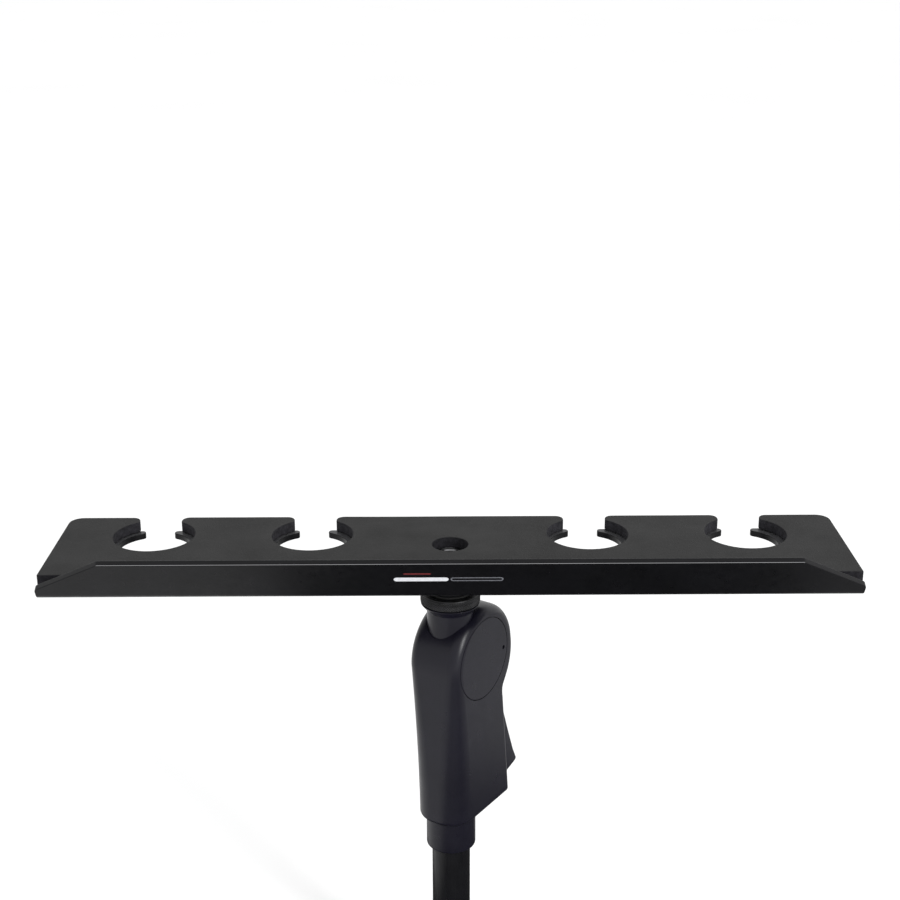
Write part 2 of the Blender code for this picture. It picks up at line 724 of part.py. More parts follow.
def build_trigger(frame):
    trigger = prism("trigger", trigger_outline(), -TRIGGER_HALF, TRIGGER_HALF, "Y", NYLON)
    trigger.location = (PIVOT_X, 0, PIVOT_Z)
    trigger.parent = frame
    edges = trigger.modifiers.new("edges", "BEVEL")
    edges.width = TRIGGER_EDGE
    edges.segments = 2
    edges.limit_method = "ANGLE"
    edges.angle_limit = math.radians(60)
    hole = across(cylinder("trigger_hole", PIN_RADIUS + GAP, -0.030, 0.030, steps=16),
                  PIVOT_X, PIVOT_Z)
    hole.parent = frame
    boolean(trigger, hole)

    pin = across(cylinder("trigger_pin", PIN_RADIUS, -PIN_HALF, PIN_HALF, PLATED_STEEL, 16),
                 PIVOT_X, PIVOT_Z)
    pin.parent = frame
    spacer_half = (CAVITY_HALF - TRIGGER_HALF) / 2 - GAP
    spacer = turned("trigger_spacer",
                    tube_profile(SPACER_RADIUS, PIN_RADIUS + GAP, spacer_half, -spacer_half),
                    ACETAL, SMALL_STEPS)
    across(spacer, PIVOT_X, PIVOT_Z, -(CAVITY_HALF + TRIGGER_HALF) / 2)
    spacer.parent = frame

    spring = wire("trigger_spring", trigger_spring_path(), TRIGGER_WIRE, SPRING_STEEL)
    spring.location = (PIVOT_X, 0, PIVOT_Z)
    spring.parent = frame


def trigger_spring_path():
    """Coil round the pin, one leg against the head and one along the lever."""
    per_turn = 10
    coil = []
    for index in range(int(TRIGGER_COIL_TURNS * per_turn) + 1):
        angle = math.pi / 2 + math.tau * index / per_turn
        coil.append((TRIGGER_COIL_RADIUS * math.cos(angle),
                     TRIGGER_COIL_START + TRIGGER_COIL_PITCH * index / per_turn,
                     TRIGGER_COIL_RADIUS * math.sin(angle)))
    upper = (TRIGGER_LEG_UPPER, TRIGGER_COIL_START, TRIGGER_COIL_RADIUS)
    lower = (-TRIGGER_LEG_LOWER, coil[-1][1], coil[-1][2] - 1.5 * TRIGGER_WIRE)
    return [upper] + coil + [lower]


# ---------------------------------------------------------------- lock plates
def build_lock_plates(frame):
    stack = bpy.data.objects.new("lock_plate_hinge", None)
    PARTS.objects.link(stack)
    stack.location = (FULCRUM_X, 0, FULCRUM_Z)
    stack.rotation_euler = (0, PLATE_TILT, 0)
    stack.parent = frame
    outline = [(0, -LOCK_HALF), (LOCK_LENGTH - LOCK_CORNER, -LOCK_HALF),
               (LOCK_LENGTH, -LOCK_HALF + LOCK_CORNER), (LOCK_LENGTH, LOCK_HALF - LOCK_CORNER),
               (LOCK_LENGTH - LOCK_CORNER, LOCK_HALF), (0, LOCK_HALF)]
    for index, label in enumerate(("lower", "middle", "upper")):
        low = LOCK_PITCH * index
        plate = prism(f"lock_plate_{label}", outline, low, low + LOCK_THICK, "Z", PLATED_STEEL)
        plate.parent = stack
        centre_height = low + LOCK_THICK / 2
        centre_x = (-FULCRUM_X - centre_height * math.sin(HOLE_TILT)) / math.cos(HOLE_TILT)
        hole = cylinder(f"lock_hole_{label}", LOCK_HOLE, -0.010, 0.020)
        hole.location = (centre_x, 0, 0)
        hole.parent = stack
        boolean(plate, hole)

    block = prism("fulcrum_insert",
                  [(CAVITY_FRONT + GAP, INSERT_BOTTOM), (INSERT_FACE_X, INSERT_BOTTOM),
                   (INSERT_FACE_X, INSERT_TOP), (CAVITY_FRONT + GAP, INSERT_TOP)],
                  -INSERT_HALF, INSERT_HALF, "Y", PLATED_STEEL)
    block.parent = frame


def build_plate_spring(frame):
    per_turn = 12
    count = int(SPRING_TURNS * per_turn)
    points = []
    for index in range(count + 1):
        angle = math.tau * index / per_turn
        points.append((SPRING_RADIUS * math.cos(angle), SPRING_RADIUS * math.sin(angle),
                       SPRING_LOW + (SPRING_HIGH - SPRING_LOW) * index / count))
    spring = wire("plate_spring", points, SPRING_WIRE, SPRING_STEEL)
    spring.parent = frame
    top = NECK_BOTTOM - GAP
    seat = turned("spring_washer",
                  tube_profile(SEAT_RADIUS, MAST_RADIUS + RUNNING, top, top - SEAT_THICK),
                  PLATED_STEEL, SMALL_STEPS)
    seat.parent = frame


# ---------------------------------------------------------------- assembly
def build():
    build_tray()
    build_lock_ring()
    build_mast()
    build_outer_tube()
    grip = bpy.data.objects.new("grip_frame", None)
    PARTS.objects.link(grip)
    grip.rotation_euler = (0, 0, GRIP_TURN)
    build_housing(grip)
    build_trigger(grip)
    build_lock_plates(grip)
    build_plate_spring(grip)
    bpy.context.view_layer.update()
    for item in PARTS.objects:
        if item.type == "MESH":
            smooth(item)


build()
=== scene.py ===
"""Looks of the four-slot microphone tray on the grip of its stand.

Metres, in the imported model's frame: +Z is up and -Y is the tray's front. The
grip's pieces are made in a frame of their own, whose X points from the tube to
the trigger and Y across it, and are then turned about Z into place.
"""
import math

import bmesh
import bpy
from mathutils import Matrix, Vector, noise


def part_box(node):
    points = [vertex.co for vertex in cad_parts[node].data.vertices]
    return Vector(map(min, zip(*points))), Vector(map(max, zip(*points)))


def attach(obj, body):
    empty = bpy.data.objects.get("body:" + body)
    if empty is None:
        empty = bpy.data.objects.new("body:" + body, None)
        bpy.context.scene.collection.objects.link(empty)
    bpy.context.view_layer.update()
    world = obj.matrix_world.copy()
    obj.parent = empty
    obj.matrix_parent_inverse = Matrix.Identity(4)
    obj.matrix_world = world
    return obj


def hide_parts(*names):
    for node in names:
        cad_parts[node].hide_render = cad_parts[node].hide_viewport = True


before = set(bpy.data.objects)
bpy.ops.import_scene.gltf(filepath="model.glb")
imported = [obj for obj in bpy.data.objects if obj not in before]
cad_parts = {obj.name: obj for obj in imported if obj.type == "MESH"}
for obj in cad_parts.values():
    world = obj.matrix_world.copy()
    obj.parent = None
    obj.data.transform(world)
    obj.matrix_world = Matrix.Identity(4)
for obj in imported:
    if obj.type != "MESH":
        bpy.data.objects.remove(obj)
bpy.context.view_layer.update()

GAP = 0.0003                    # what the CAD leaves between pieces that touch
TINY = 1e-7                     # lengths closer than this are the same
MERGE = 0.000002                # points of a sheet closer than this become one

# ---------------------------------------------------------------- sizes from the frame
PAD_LOW, PAD_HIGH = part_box("foam_pad")
PLATE_LOW, PLATE_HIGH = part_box("tray_plate")
BOSS_LOW, BOSS_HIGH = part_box("thread_boss")
STUD_LOW, STUD_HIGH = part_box("thread_stud")
RING_LOW, RING_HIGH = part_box("lock_ring")
WASHER_LOW, WASHER_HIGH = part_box("lock_ring_washer")
MAST_LOW, MAST_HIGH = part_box("inner_tube")
TUBE_LOW, TUBE_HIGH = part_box("outer_tube")
PLUG_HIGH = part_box("tube_end_plug")[1]
COLLAR_LOW, COLLAR_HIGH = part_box("collar")
NECK_LOW, NECK_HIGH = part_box("neck_bush")
HOUSING_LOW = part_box("grip_housing")[0]

PAD_TOP = PAD_HIGH.z

# The rest of the sizes are the CAD's own, or belong to details that only the looks have.

# tray: a bent steel plate under a foam pad
PLATE_TOP = PAD_LOW.z - GAP
PLATE_THICK = PLATE_TOP - PLATE_LOW.z
PLATE_CORNER = 0.0110
PAD_CORNER = 0.0075
HOLE_Y = 0.0148
PAD_HOLE_X = (-0.1635, -0.0760, 0.0760, 0.1635)
PLATE_HOLE_X = (-0.1640, -0.0768, 0.0752, 0.1622)
PAD_HOLE_RADIUS = 0.0225
PAD_SLOT_HALF = 0.01185
PLATE_HOLE_RADIUS = 0.0200
PLATE_SLOT_HALF = 0.0082
NECK_ROUND = 0.0020
PAD_MOUTH_ROUND = 0.0045
PLATE_MOUTH_ROUND = 0.0022
CENTRE_HOLE_RADIUS = 0.0099
PLATE_EDGE = 0.00035            # rounding of the steel's cut edges
PAD_EDGE = 0.0004               # rounding of the foam's die-cut edges
PAD_WAVE = 0.00012              # how far the foam's face dips
PAD_WAVES = ((28, 0.7, 0.7), (90, 3.1, 0.3))    # each wave's scale, level and share
PAD_GRID = 0.0045

# lip: the front of the plate, bent up and leaning forwards
LIP_BEND_Y = -0.0439
LIP_BEND_INNER = 0.0020
LIP_ANGLE = math.radians(62)
LIP_LENGTH = 0.0240
LIP_END_LENGTH = 0.0040
LIP_FULL_HALF = 0.1787
LIP_CORNER = 0.0026
BEND_STEPS = 14
# directions of the faces that get the powder coat's painted highlight line and its painted sheen
LIP_EDGE_HIGHLIGHT_NORMAL = (0, -0.75, 0.66)
TOP_SHEEN_NORMAL = (0, 0.10, 1.00)

# printed mark on the lip: plain bars
MARK_RISE = 0.0118
MARK_HEIGHT = 0.0030
MARK_LEFT = -0.0290
MARK_MIDDLE = -0.0010
MARK_RIGHT = 0.0270
MARK_THICK = 0.00003
DASH_RISE = 0.0163
DASH_HEIGHT = 0.0010
DASH_LEFT = -0.0240
DASH_RIGHT = -0.0100
MARK_GAP = 0.0010               # between the two bars
MARK_LINE = 0.0007              # width of the grey bar's outline

# 5/8 inch thread, 27 turns to the inch
THREAD_PITCH = 0.0254 / 27
THREAD_DEPTH = 0.00045
BORE_RADIUS = 0.00825
STUD_RADIUS = STUD_HIGH.x
ROWS_PER_TURN = 6               # rows of points in one turn of a thread
BOSS_SPIGOT_RADIUS = 0.0100
BOSS_CHAMFER = 0.0006

# weld bead in the corner between the boss and the plate
WELD_LEG = 0.0020
WELD_CLEAR = 0.0001             # off the boss's wall
WELD_DROP = 0.00015             # under the plate
WELD_ROUND = 0.0006
WELD_ROOT = 0.0005              # the bead's width that has no ripples
WELD_RIPPLE = 0.00012
WELD_RIPPLES = 34
WELD_STEPS = 6                  # round one ripple

# lock ring, stud and washer
RING_RADIUS = RING_HIGH.x
RING_CHAMFER = 0.0007
RING_CHAMFER_DROP = 0.0006
RING_CHAMFER_RISE = 0.0004
RING_BORE_CHAMFER = 0.0008
RING_BORE_FOOT = 0.0006
RING_ROUND = 0.0004
KNURL_COUNT = 76
KNURL_DEPTH = 0.00060
KNURL_DROP = 0.0009             # from the ring's top to the knurled band
KNURL_RISE = 0.0007             # from its foot
KNURL_ROW = 0.00022
KNURL_STEPS = 6                 # round one diamond
WASHER_ROUND = 0.0003
STUD_CHAMFER = 0.0010
STUD_DIMPLE = ((0, -0.0022), (0.0022, -0.0006), (0.0026, 0))    # radius, depth
STUD_RELIEF = 0.0012            # plain height between the thread and the shoulder
STUD_SHOULDER = 0.0006
STUD_FADE = 0.0010              # where the thread has faded out
STUD_PLUG_CHAMFER = 0.0008

# tubes
TUBE_RADIUS = TUBE_HIGH.x
TUBE_WALL = 0.0012
TUBE_EDGE = 0.0005
MAST_RADIUS = MAST_HIGH.x
MAST_WALL = 0.0012
RUNNING = 0.0003                # clearance of the sliding tube
PLUG_FLANGE = 0.0030
PLUG_BORE = 0.0050
PLUG_CHAMFER = 0.0009
PLUG_ROUND = 0.0006
PLUG_THREAD_PITCH = 0.0015
PLUG_THREAD_DEPTH = 0.0007
COLLAR_RADIUS = 0.0142
COLLAR_ROUND = 0.0040           # height of the turned-in foot
COLLAR_FOOT_ROUND = 0.0022
COLLAR_FOOT_RISE = 0.0003
COLLAR_MOUTH = 0.0006
COLLAR_MOUTH_RISE = 0.0004
SCREW_DROP = 0.0085             # from the collar's top
SCREW_HOLE_RADIUS = 0.0020
SCREW_SEAT = 0.0013             # from the collar's bore to the head's middle
SCREW_HEAD = ((0, 0.0011), (0.0010, 0.00105), (0.0015, 0.0007), (0.0017, 0.0002),
              (0.0017, -0.0012), (0, -0.0012))
SCREW_SLOT_LONG = 0.0012        # half the length and half the width of a slot
SCREW_SLOT_WIDE = 0.0002
SCREW_SLOT_LOW = 0.0003
SCREW_SLOT_HIGH = 0.0020

# grip, in its own frame
GRIP = Matrix.Rotation(math.radians(56), 4, "Z")
HALF_THICK = 0.0166
HEAD_RADIUS = 0.0306
HEAD_X = 0.0115
HEAD_Z = PAD_TOP - 0.0698
HEAD_ROUND = 0.0068
BASE_Z = HOUSING_LOW.z
FRONT_DRAFT = 0.0018
FRONT_ROUND_GROWTH = 0.0075
BACK_ROUND = 0.0030
BASE_ROUND = 0.0030
WAIST_X = 0.0310
WAIST_Z = PAD_TOP - 0.1020
BASE_BACK_X = 0.0381
WAIST_BLEND = 0.0040
EASE_POWER = 1.6                # how soon the front's draft and rounding set in
LEAST_ROUND = 0.0008
MOST_ROUND = 0.96               # share of a half section that its corners may take
BASE_LEVELS = 7
BODY_LEVELS = 44
HEAD_LEVELS = 30
HEAD_END = math.radians(88)
HEAD_CROWDING = 0.85
PAST = 0.010                    # how far a cutter runs past what it cuts
ACROSS = 0.030                  # half the length of a drill through the grip
CAVITY_HALF = 0.0130
CAVITY_TOP = PAD_TOP - 0.0576
CAVITY_FLOOR = PAD_TOP - 0.1340
CAVITY_FRONT = -0.0156
CAVITY_NARROW = -0.0105
CAVITY_BACK = 0.0270
CAVITY_RADIUS = 0.0274
NECK_BORE_OVERLAP = 0.003       # how far the bores reach into the cavity
TUBE_BORE_OVERLAP = 0.005
CAVITY_BEVEL = 0.0030
CAVITY_BEVEL_DROP = 0.0060
FULCRUM_Z = PAD_TOP - 0.0862
LEDGE_HIGH = FULCRUM_Z - 0.0100
LEDGE_LOW = FULCRUM_Z - 0.0130
SLOT_HALF = 0.0101
SLOT_FRONT = 0.0190
SLOT_BACK = 0.0800
SLOT_TOP = PAD_TOP - 0.0820
CAP_X = 0.0095
CAP_Z = PAD_TOP - 0.0690
CAP_RADIUS = 0.0240
CAP_RECESS = 0.0016
CAP_EDGE = 0.0003
NECK_RADIUS = 0.0130
NECK_RIM = 0.0004
NECK_EDGE = 0.0005
NECK_FLARE_FOOT = RING_HIGH.z - 0.0108
PIVOT_X = 0.0294
PIVOT_Z = PAD_TOP - 0.0701
PIN_RADIUS = 0.0015
CAP_HOLE_RADIUS = 0.0012
TRIGGER_HALF = 0.0093
TRIGGER_EDGE = 0.0013
TRIGGER_SMOOTHING = 0.0060
TRIGGER_BOSS_RADIUS = 0.0050
TRIGGER_BOSS_ARC = (math.radians(200), math.radians(-10))
NOSE_TIP_X = 0.0135
NOSE_TOP_Z = PAD_TOP - 0.0903
# the lever's side view from its pin down the finger side, round the tip and up again,
# heights from the pad's top
LEVER = ((0.0334, -0.0742), (0.0362, -0.0960), (0.0392, -0.1080), (0.0434, -0.1210),
         (0.0486, -0.1355), (0.0539, -0.1496), (0.0576, -0.1572), (0.0574, -0.1586),
         (0.0559, -0.1596), (0.0460, -0.1622), (0.0442, -0.1616), (0.0406, -0.1500),
         (0.0360, -0.1350), (0.0318, -0.1200), (0.0288, -0.1080), (0.0270, -0.0990),
         (0.0225, -0.0955))
# the nose that pushes the lock plates, from its tip: outwards and up
NOSE = ((0.0020, -0.0036), (0, -0.0020), (0.0010, -0.0003), (0.0030, 0), (0.0080, 0),
        (0.0115, 0.0050))

# studio
FLOOR_Z = -0.0005
FLOOR_HALF = 30
WORLD_STRENGTH = 1.07
KEY_PLACE = (1.10, -1.25, 0.90)
KEY_AIM = (0.0, 0.0, 0.22)
KEY_SIZE = (0.34, 0.80)
KEY_POWER = 19
# cards seen only in reflections keep the lip and the right-hand faces dark:
# lower and upper corner, height, shade
CARDS = {"dark_card": ((-0.125, -0.24), (0.26, 0.16), -0.0002, 0.05),
         "grey_card": ((-0.085, -0.70), (1.60, 1.20), -0.0003, 0.48)}

CAMERA_SENSOR = 36
CAMERA_LENS = 60.381
CAMERA_PLACE = (-0.00238, -0.75842, 0.61864)
CAMERA_TILT = (70.7643, 0.1888, -0.2544)

FINE_STEPS = 128
BORE_STEPS = 72                 # round a tapped bore or a cut thread
DRILL_STEPS = 48
CAP_HOLE_STEPS = 40
SCREW_HOLE_STEPS = 32
ARC_STEP = math.radians(7.5)
CORNER_SHARE = 0.48             # of a side, that the rounding of one corner may take


# ---------------------------------------------------------------- materials
class Surface:
    """One procedural material, its noises read in the model's own metres."""

    def __init__(self, name, roughness, metallic=0.0, specular=0.5):
        self.material = bpy.data.materials.new(name)
        self.material.use_nodes = True
        self.tree = self.material.node_tree
        self.shader = self.tree.nodes["Principled BSDF"]
        self.shader.inputs["Roughness"].default_value = roughness
        self.shader.inputs["Metallic"].default_value = metallic
        self.shader.inputs["Specular IOR Level"].default_value = specular
        self.place = self.tree.nodes.new("ShaderNodeTexCoord")

    def link(self, source, target):
        self.tree.links.new(source, target)

    def stretched(self, x, y, z):
        mapping = self.tree.nodes.new("ShaderNodeMapping")
        mapping.inputs["Scale"].default_value = (x, y, z)
        self.link(self.place.outputs["Object"], mapping.inputs["Vector"])
        return mapping.outputs["Vector"]

    def grain(self, scale, detail=2.0, roughness=0.5, vector=None):
        made = self.tree.nodes.new("ShaderNodeTexNoise")
        made.inputs["Scale"].default_value = scale
        made.inputs["Detail"].default_value = detail
        made.inputs["Roughness"].default_value = roughness
        self.link(vector or self.place.outputs["Object"], made.inputs["Vector"])
        return made.outputs["Fac"]

    def cells(self, scale):
        made = self.tree.nodes.new("ShaderNodeTexVoronoi")
        made.inputs["Scale"].default_value = scale
        self.link(self.place.outputs["Object"], made.inputs["Vector"])
        return made.outputs["Distance"]

    def spread(self, value, low, high, start=0.3, stop=0.7):
        """Stretch a value from start..stop to low..high."""
        made = self.tree.nodes.new("ShaderNodeMapRange")
        made.inputs["From Min"].default_value = start
        made.inputs["From Max"].default_value = stop
        made.inputs["To Min"].default_value = low
        made.inputs["To Max"].default_value = high
        self.link(value, made.inputs["Value"])
        return made.outputs["Result"]

    def blend(self, value, first, second, start=0.3, stop=0.7):
        """A colour between two, each a colour or a socket."""
        made = self.tree.nodes.new("ShaderNodeMix")
        made.data_type = "RGBA"
        self.link(self.spread(value, 0.0, 1.0, start, stop), made.inputs["Factor"])
        for socket, colour in (("A", first), ("B", second)):
            target = next(s for s in made.inputs if s.name == socket and s.type == "RGBA")
            if isinstance(colour, tuple):
                target.default_value = (*colour, 1.0)
            else:
                self.link(colour, target)
        return next(s for s in made.outputs if s.type == "RGBA")

    def sum(self, first, second, share):
        made = self.tree.nodes.new("ShaderNodeMath")
        made.operation = "MULTIPLY_ADD"
        self.link(second, made.inputs[0])
        made.inputs[1].default_value = share
        self.link(first, made.inputs[2])
        return made.outputs["Value"]

    def facing(self, direction):
        """How nearly the surface faces a direction of the object's own frame."""
        made = self.tree.nodes.new("ShaderNodeVectorMath")
        made.operation = "DOT_PRODUCT"
        self.link(self.place.outputs["Normal"], made.inputs[0])
        made.inputs[1].default_value = Vector(direction).normalized()
        return made.outputs["Value"]

    def upward(self):
        """How far the surface faces up or down, 0 on a wall."""
        geometry = self.tree.nodes.new("ShaderNodeNewGeometry")
        split = self.tree.nodes.new("ShaderNodeSeparateXYZ")
        self.link(geometry.outputs["Normal"], split.inputs["Vector"])
        size = self.tree.nodes.new("ShaderNodeMath")
        size.operation = "ABSOLUTE"
        self.link(split.outputs["Z"], size.inputs[0])
        return size.outputs["Value"]

    def finish(self, colour=None, roughness=None, height=None, distance=0.0001, strength=1.0):
        if colour is not None:
            self.link(colour, self.shader.inputs["Base Color"])
        if roughness is not None:
            self.link(roughness, self.shader.inputs["Roughness"])
        if height is not None:
            bump = self.tree.nodes.new("ShaderNodeBump")
            bump.inputs["Strength"].default_value = strength
            bump.inputs["Distance"].default_value = distance
            self.link(height, bump.inputs["Height"])
            self.link(bump.outputs["Normal"], self.shader.inputs["Normal"])
        return self.material


def powder_coat():
    """Black, with painted sheen where it faces up and a painted highlight line along the lip's rounded
    front edge.
    """
    surface = Surface("powder_coat", 0.34, specular=0.16)
    broad = surface.grain(38, 3.0)
    peel = surface.grain(1300, 2.0, 0.55)
    face = surface.blend(broad, (0.0020, 0.0020, 0.0026), (0.0034, 0.0034, 0.0044))
    painted_edge_highlight, painted_top_sheen = (0.30, 0.30, 0.31), (0.055, 0.055, 0.058)
    # painted highlight: a light line where the lip's front edge rounding faces this way
    colour = surface.blend(surface.facing(LIP_EDGE_HIGHLIGHT_NORMAL), face, painted_edge_highlight, 0.950, 0.985)
    # painted sheen: faces turned upwards made greyer, standing in for the light they catch
    colour = surface.blend(surface.facing(TOP_SHEEN_NORMAL), colour, painted_top_sheen, 0.96, 0.99)
    rough = surface.spread(surface.grain(260, 3.0), 0.27, 0.40)
    return surface.finish(colour, rough, peel, distance=0.000045, strength=0.7)


def closed_cell_foam():
    """Skinned faces; the walls darker, partly for their open cut cells and partly as painted shade."""
    surface = Surface("closed_cell_foam", 0.95, specular=0.18)
    clouds = surface.grain(30, 5.0, 0.6)
    speckle = surface.grain(700, 3.0, 0.7)
    pores = surface.cells(1500)
    face = surface.blend(clouds, (0.0230, 0.0230, 0.0230), (0.0350, 0.0350, 0.0350))
    face = surface.blend(speckle, face, (0.0400, 0.0400, 0.0404), 0.50, 0.85)
    # darker on the walls: partly the open cut cells, partly painted shade for faces that turn away
    # from the light above
    cut_wall_with_painted_shade = surface.blend(surface.grain(420, 4.0), (0.0085, 0.0083, 0.0100), (0.0210, 0.0205, 0.0245))
    colour = surface.blend(surface.upward(), cut_wall_with_painted_shade, face, 0.35, 0.80)
    rough = surface.spread(speckle, 0.86, 0.98)
    height = surface.sum(surface.sum(speckle, pores, 0.9), clouds, 0.5)
    return surface.finish(colour, rough, height, distance=0.00022, strength=0.8)


def moulded_nylon():
    surface = Surface("moulded_nylon", 0.32, specular=0.24)
    broad = surface.grain(26, 3.0, 0.6)
    texture = surface.grain(2600, 2.0, 0.6)
    colour = surface.blend(broad, (0.0046, 0.0043, 0.0085), (0.0070, 0.0066, 0.0122))
    rough = surface.spread(surface.grain(120, 4.0), 0.27, 0.35)
    return surface.finish(colour, rough, texture, distance=0.00004, strength=0.6)


def black_zinc():
    surface = Surface("black_zinc", 0.42, 0.55, specular=0.4)
    broad = surface.grain(180, 3.0)
    colour = surface.blend(broad, (0.014, 0.014, 0.015), (0.028, 0.028, 0.030))
    rough = surface.spread(surface.grain(500, 3.0), 0.34, 0.52)
    return surface.finish(colour, rough, surface.grain(3000, 2.0), distance=0.00003, strength=0.6)


def soft_rubber():
    surface = Surface("soft_rubber", 0.85, specular=0.3)
    colour = surface.blend(surface.grain(220, 3.0), (0.008, 0.008, 0.008), (0.014, 0.014, 0.014))
    rough = surface.spread(surface.grain(600, 3.0), 0.75, 0.92)
    return surface.finish(colour, rough, surface.grain(1800, 3.0), distance=0.00006, strength=0.7)


def tube_paint():
    surface = Surface("tube_paint", 0.3, specular=0.22)
    drawn = surface.stretched(1.0, 1.0, 0.04)
    streaks = surface.grain(900, 3.0, 0.6, drawn)
    colour = surface.blend(surface.grain(60, 3.0), (0.0032, 0.0032, 0.0040), (0.0054, 0.0054, 0.0066))
    rough = surface.spread(streaks, 0.24, 0.36)
    return surface.finish(colour, rough, surface.sum(surface.grain(1100), streaks, 0.5),
                          distance=0.00003, strength=0.5)


def zinc_plate():
    surface = Surface("zinc_plate", 0.3, 1.0)
    patches = surface.cells(260)
    colour = surface.blend(patches, (0.46, 0.46, 0.45), (0.62, 0.62, 0.60), 0.1, 0.8)
    rough = surface.spread(surface.grain(420, 4.0), 0.24, 0.44)
    return surface.finish(colour, rough, surface.grain(2200, 3.0), distance=0.00003, strength=0.5)


def drawn_wire():
    surface = Surface("drawn_wire", 0.32, 1.0)
    colour = surface.blend(surface.grain(350, 3.0), (0.34, 0.34, 0.36), (0.48, 0.48, 0.49))
    rough = surface.spread(surface.grain(900, 3.0), 0.26, 0.42)
    return surface.finish(colour, rough, surface.grain(2600, 2.0), distance=0.00002, strength=0.5)


def natural_acetal():
    surface = Surface("natural_acetal", 0.42, specular=0.5)
    colour = surface.blend(surface.grain(90, 3.0), (0.27, 0.27, 0.255), (0.34, 0.34, 0.33))
    rough = surface.spread(surface.grain(400, 3.0), 0.36, 0.50)
    return surface.finish(colour, rough, surface.grain(1700, 2.0), distance=0.00004, strength=0.5)


def print_ink(name, low, high):
    surface = Surface(name, 0.45)
    colour = surface.blend(surface.grain(900, 3.0), low, high)
    rough = surface.spread(surface.grain(1500, 2.0), 0.38, 0.52)
    return surface.finish(colour, rough, surface.grain(2500, 2.0), distance=0.00001, strength=0.5)


def studio_floor():
    surface = Surface("studio_floor", 0.9, specular=0.1)
    colour = surface.blend(surface.grain(1.5, 2.0), (0.93, 0.93, 0.93), (0.95, 0.95, 0.95))
    return surface.finish(colour)


def card_paper(name, shade):
    surface = Surface(name, 0.95, specular=0.05)
    colour = surface.blend(surface.grain(3.0, 2.0), (shade * 0.9,) * 3, (shade * 1.1,) * 3)
    return surface.finish(colour)


POWDER_COAT = powder_coat()
FOAM = closed_cell_foam()
NYLON = moulded_nylon()
RING_METAL = black_zinc()
RUBBER = soft_rubber()
TUBE_PAINT = tube_paint()
PLATED_STEEL = zinc_plate()
SPRING_STEEL = drawn_wire()
ACETAL = natural_acetal()
LIGHT_INK = print_ink("light_ink", (0.50, 0.51, 0.54), (0.62, 0.63, 0.66))
GREY_INK = print_ink("grey_ink", (0.090, 0.092, 0.105), (0.130, 0.133, 0.150))
RED_INK = print_ink("red_ink", (0.10, 0.008, 0.010), (0.14, 0.012, 0.014))


# ---------------------------------------------------------------- helpers
def piece(name, source, material, body, nodes=(), angle=38, turn=None, flat_faces=False):
    """A finished piece from a mesh or bmesh, riding on a body."""
    if isinstance(source, bmesh.types.BMesh):
        bmesh.ops.recalc_face_normals(source, faces=source.faces)
        mesh = bpy.data.meshes.new(name)
        source.to_mesh(mesh)
        source.free()
    else:
        mesh = source
    if turn is not None:
        mesh.transform(turn)
    mesh.materials.clear()
    mesh.materials.append(material)
    mesh.shade_smooth()
    mesh.set_sharp_from_angle(angle=math.radians(angle))
    made = bpy.data.objects.new(name, mesh)
    bpy.context.scene.collection.objects.link(made)
    if flat_faces:
        weight = made.modifiers.new("weighted", "WEIGHTED_NORMAL")
        weight.keep_sharp = True
        weight.weight = 90
    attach(made, body)
    if nodes:
        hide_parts(*nodes)
    return made


def arc(centre, radius, start, end):
    """Points of an arc, both ends included."""
    steps = max(3, math.ceil(abs(end - start) / ARC_STEP))
    points = []
    for index in range(steps + 1):
        angle = start + (end - start) * index / steps
        points.append((centre[0] + radius * math.cos(angle),
                       centre[1] + radius * math.sin(angle)))
    return points


def rounded(points, radius, closed=True, steps=4, least=12):
    """The outline with its corners rounded, where they turn by more than least degrees."""
    made = []
    count = len(points)
    for index, here in enumerate(points):
        if not closed and index in (0, count - 1):
            made.append(here)
            continue
        here = Vector(here)
        before = Vector(points[index - 1]) - here
        after = Vector(points[(index + 1) % count]) - here
        turning = math.pi - before.angle(after)
        if turning < math.radians(least):
            made.append(tuple(here))
            continue
        most = CORNER_SHARE * min(before.length, after.length)
        reach = min(radius * math.tan(turning / 2), most)
        start = here + before.normalized() * reach
        end = here + after.normalized() * reach
        for step in range(steps + 1):
            share = step / steps
            spot = start.lerp(here, share).lerp(here.lerp(end, share), share)
            made.append(tuple(spot))
    return made


def lathe(profile, steps=FINE_STEPS, closed=True, shape=None):
    """A turned surface from (radius, height) points, which shape may move in or out."""
    work = bmesh.new()
    rows = []
    for radius, height in profile:
        if radius < TINY:
            rows.append([work.verts.new((0, 0, height))])
            continue
        row = []
        for index in range(steps):
            angle = math.tau * index / steps
            reach = shape(radius, angle, height) if shape else radius
            row.append(work.verts.new((reach * math.cos(angle), reach * math.sin(angle), height)))
        rows.append(row)
    following = rows[1:] + (rows[:1] if closed else [])
    for upper, lower in zip(rows, following):
        if len(upper) == 1 and len(lower) == 1:
            continue
        for index in range(steps):
            beside = (index + 1) % steps
            corners = [upper[index % len(upper)], lower[index % len(lower)],
                       lower[beside % len(lower)], upper[beside % len(upper)]]
            unique = list(dict.fromkeys(corners))
            work.faces.new(unique)
    return work


def rows_between(radius, start, end, spacing):
    """Profile points up or down a straight wall."""
    count = max(1, round(abs(end - start) / spacing))
    return [(radius, start + (end - start) * index / count) for index in range(count + 1)]


def thread(cut_wall_with_painted_shade, low, high, pitch, depth):
    """Shape function: a vee thread on the wall of one radius, faded out at its ends."""
    def shape(radius, angle, height):
        if abs(radius - cut_wall_with_painted_shade) > TINY or not low < height < high:
            return radius
        phase = (height / pitch - angle / math.tau) % 1.0
        fade = min(1.0, (height - low) / pitch, (high - height) / pitch)
        return radius + depth * fade * (1 - abs(2 * phase - 1))
    return shape


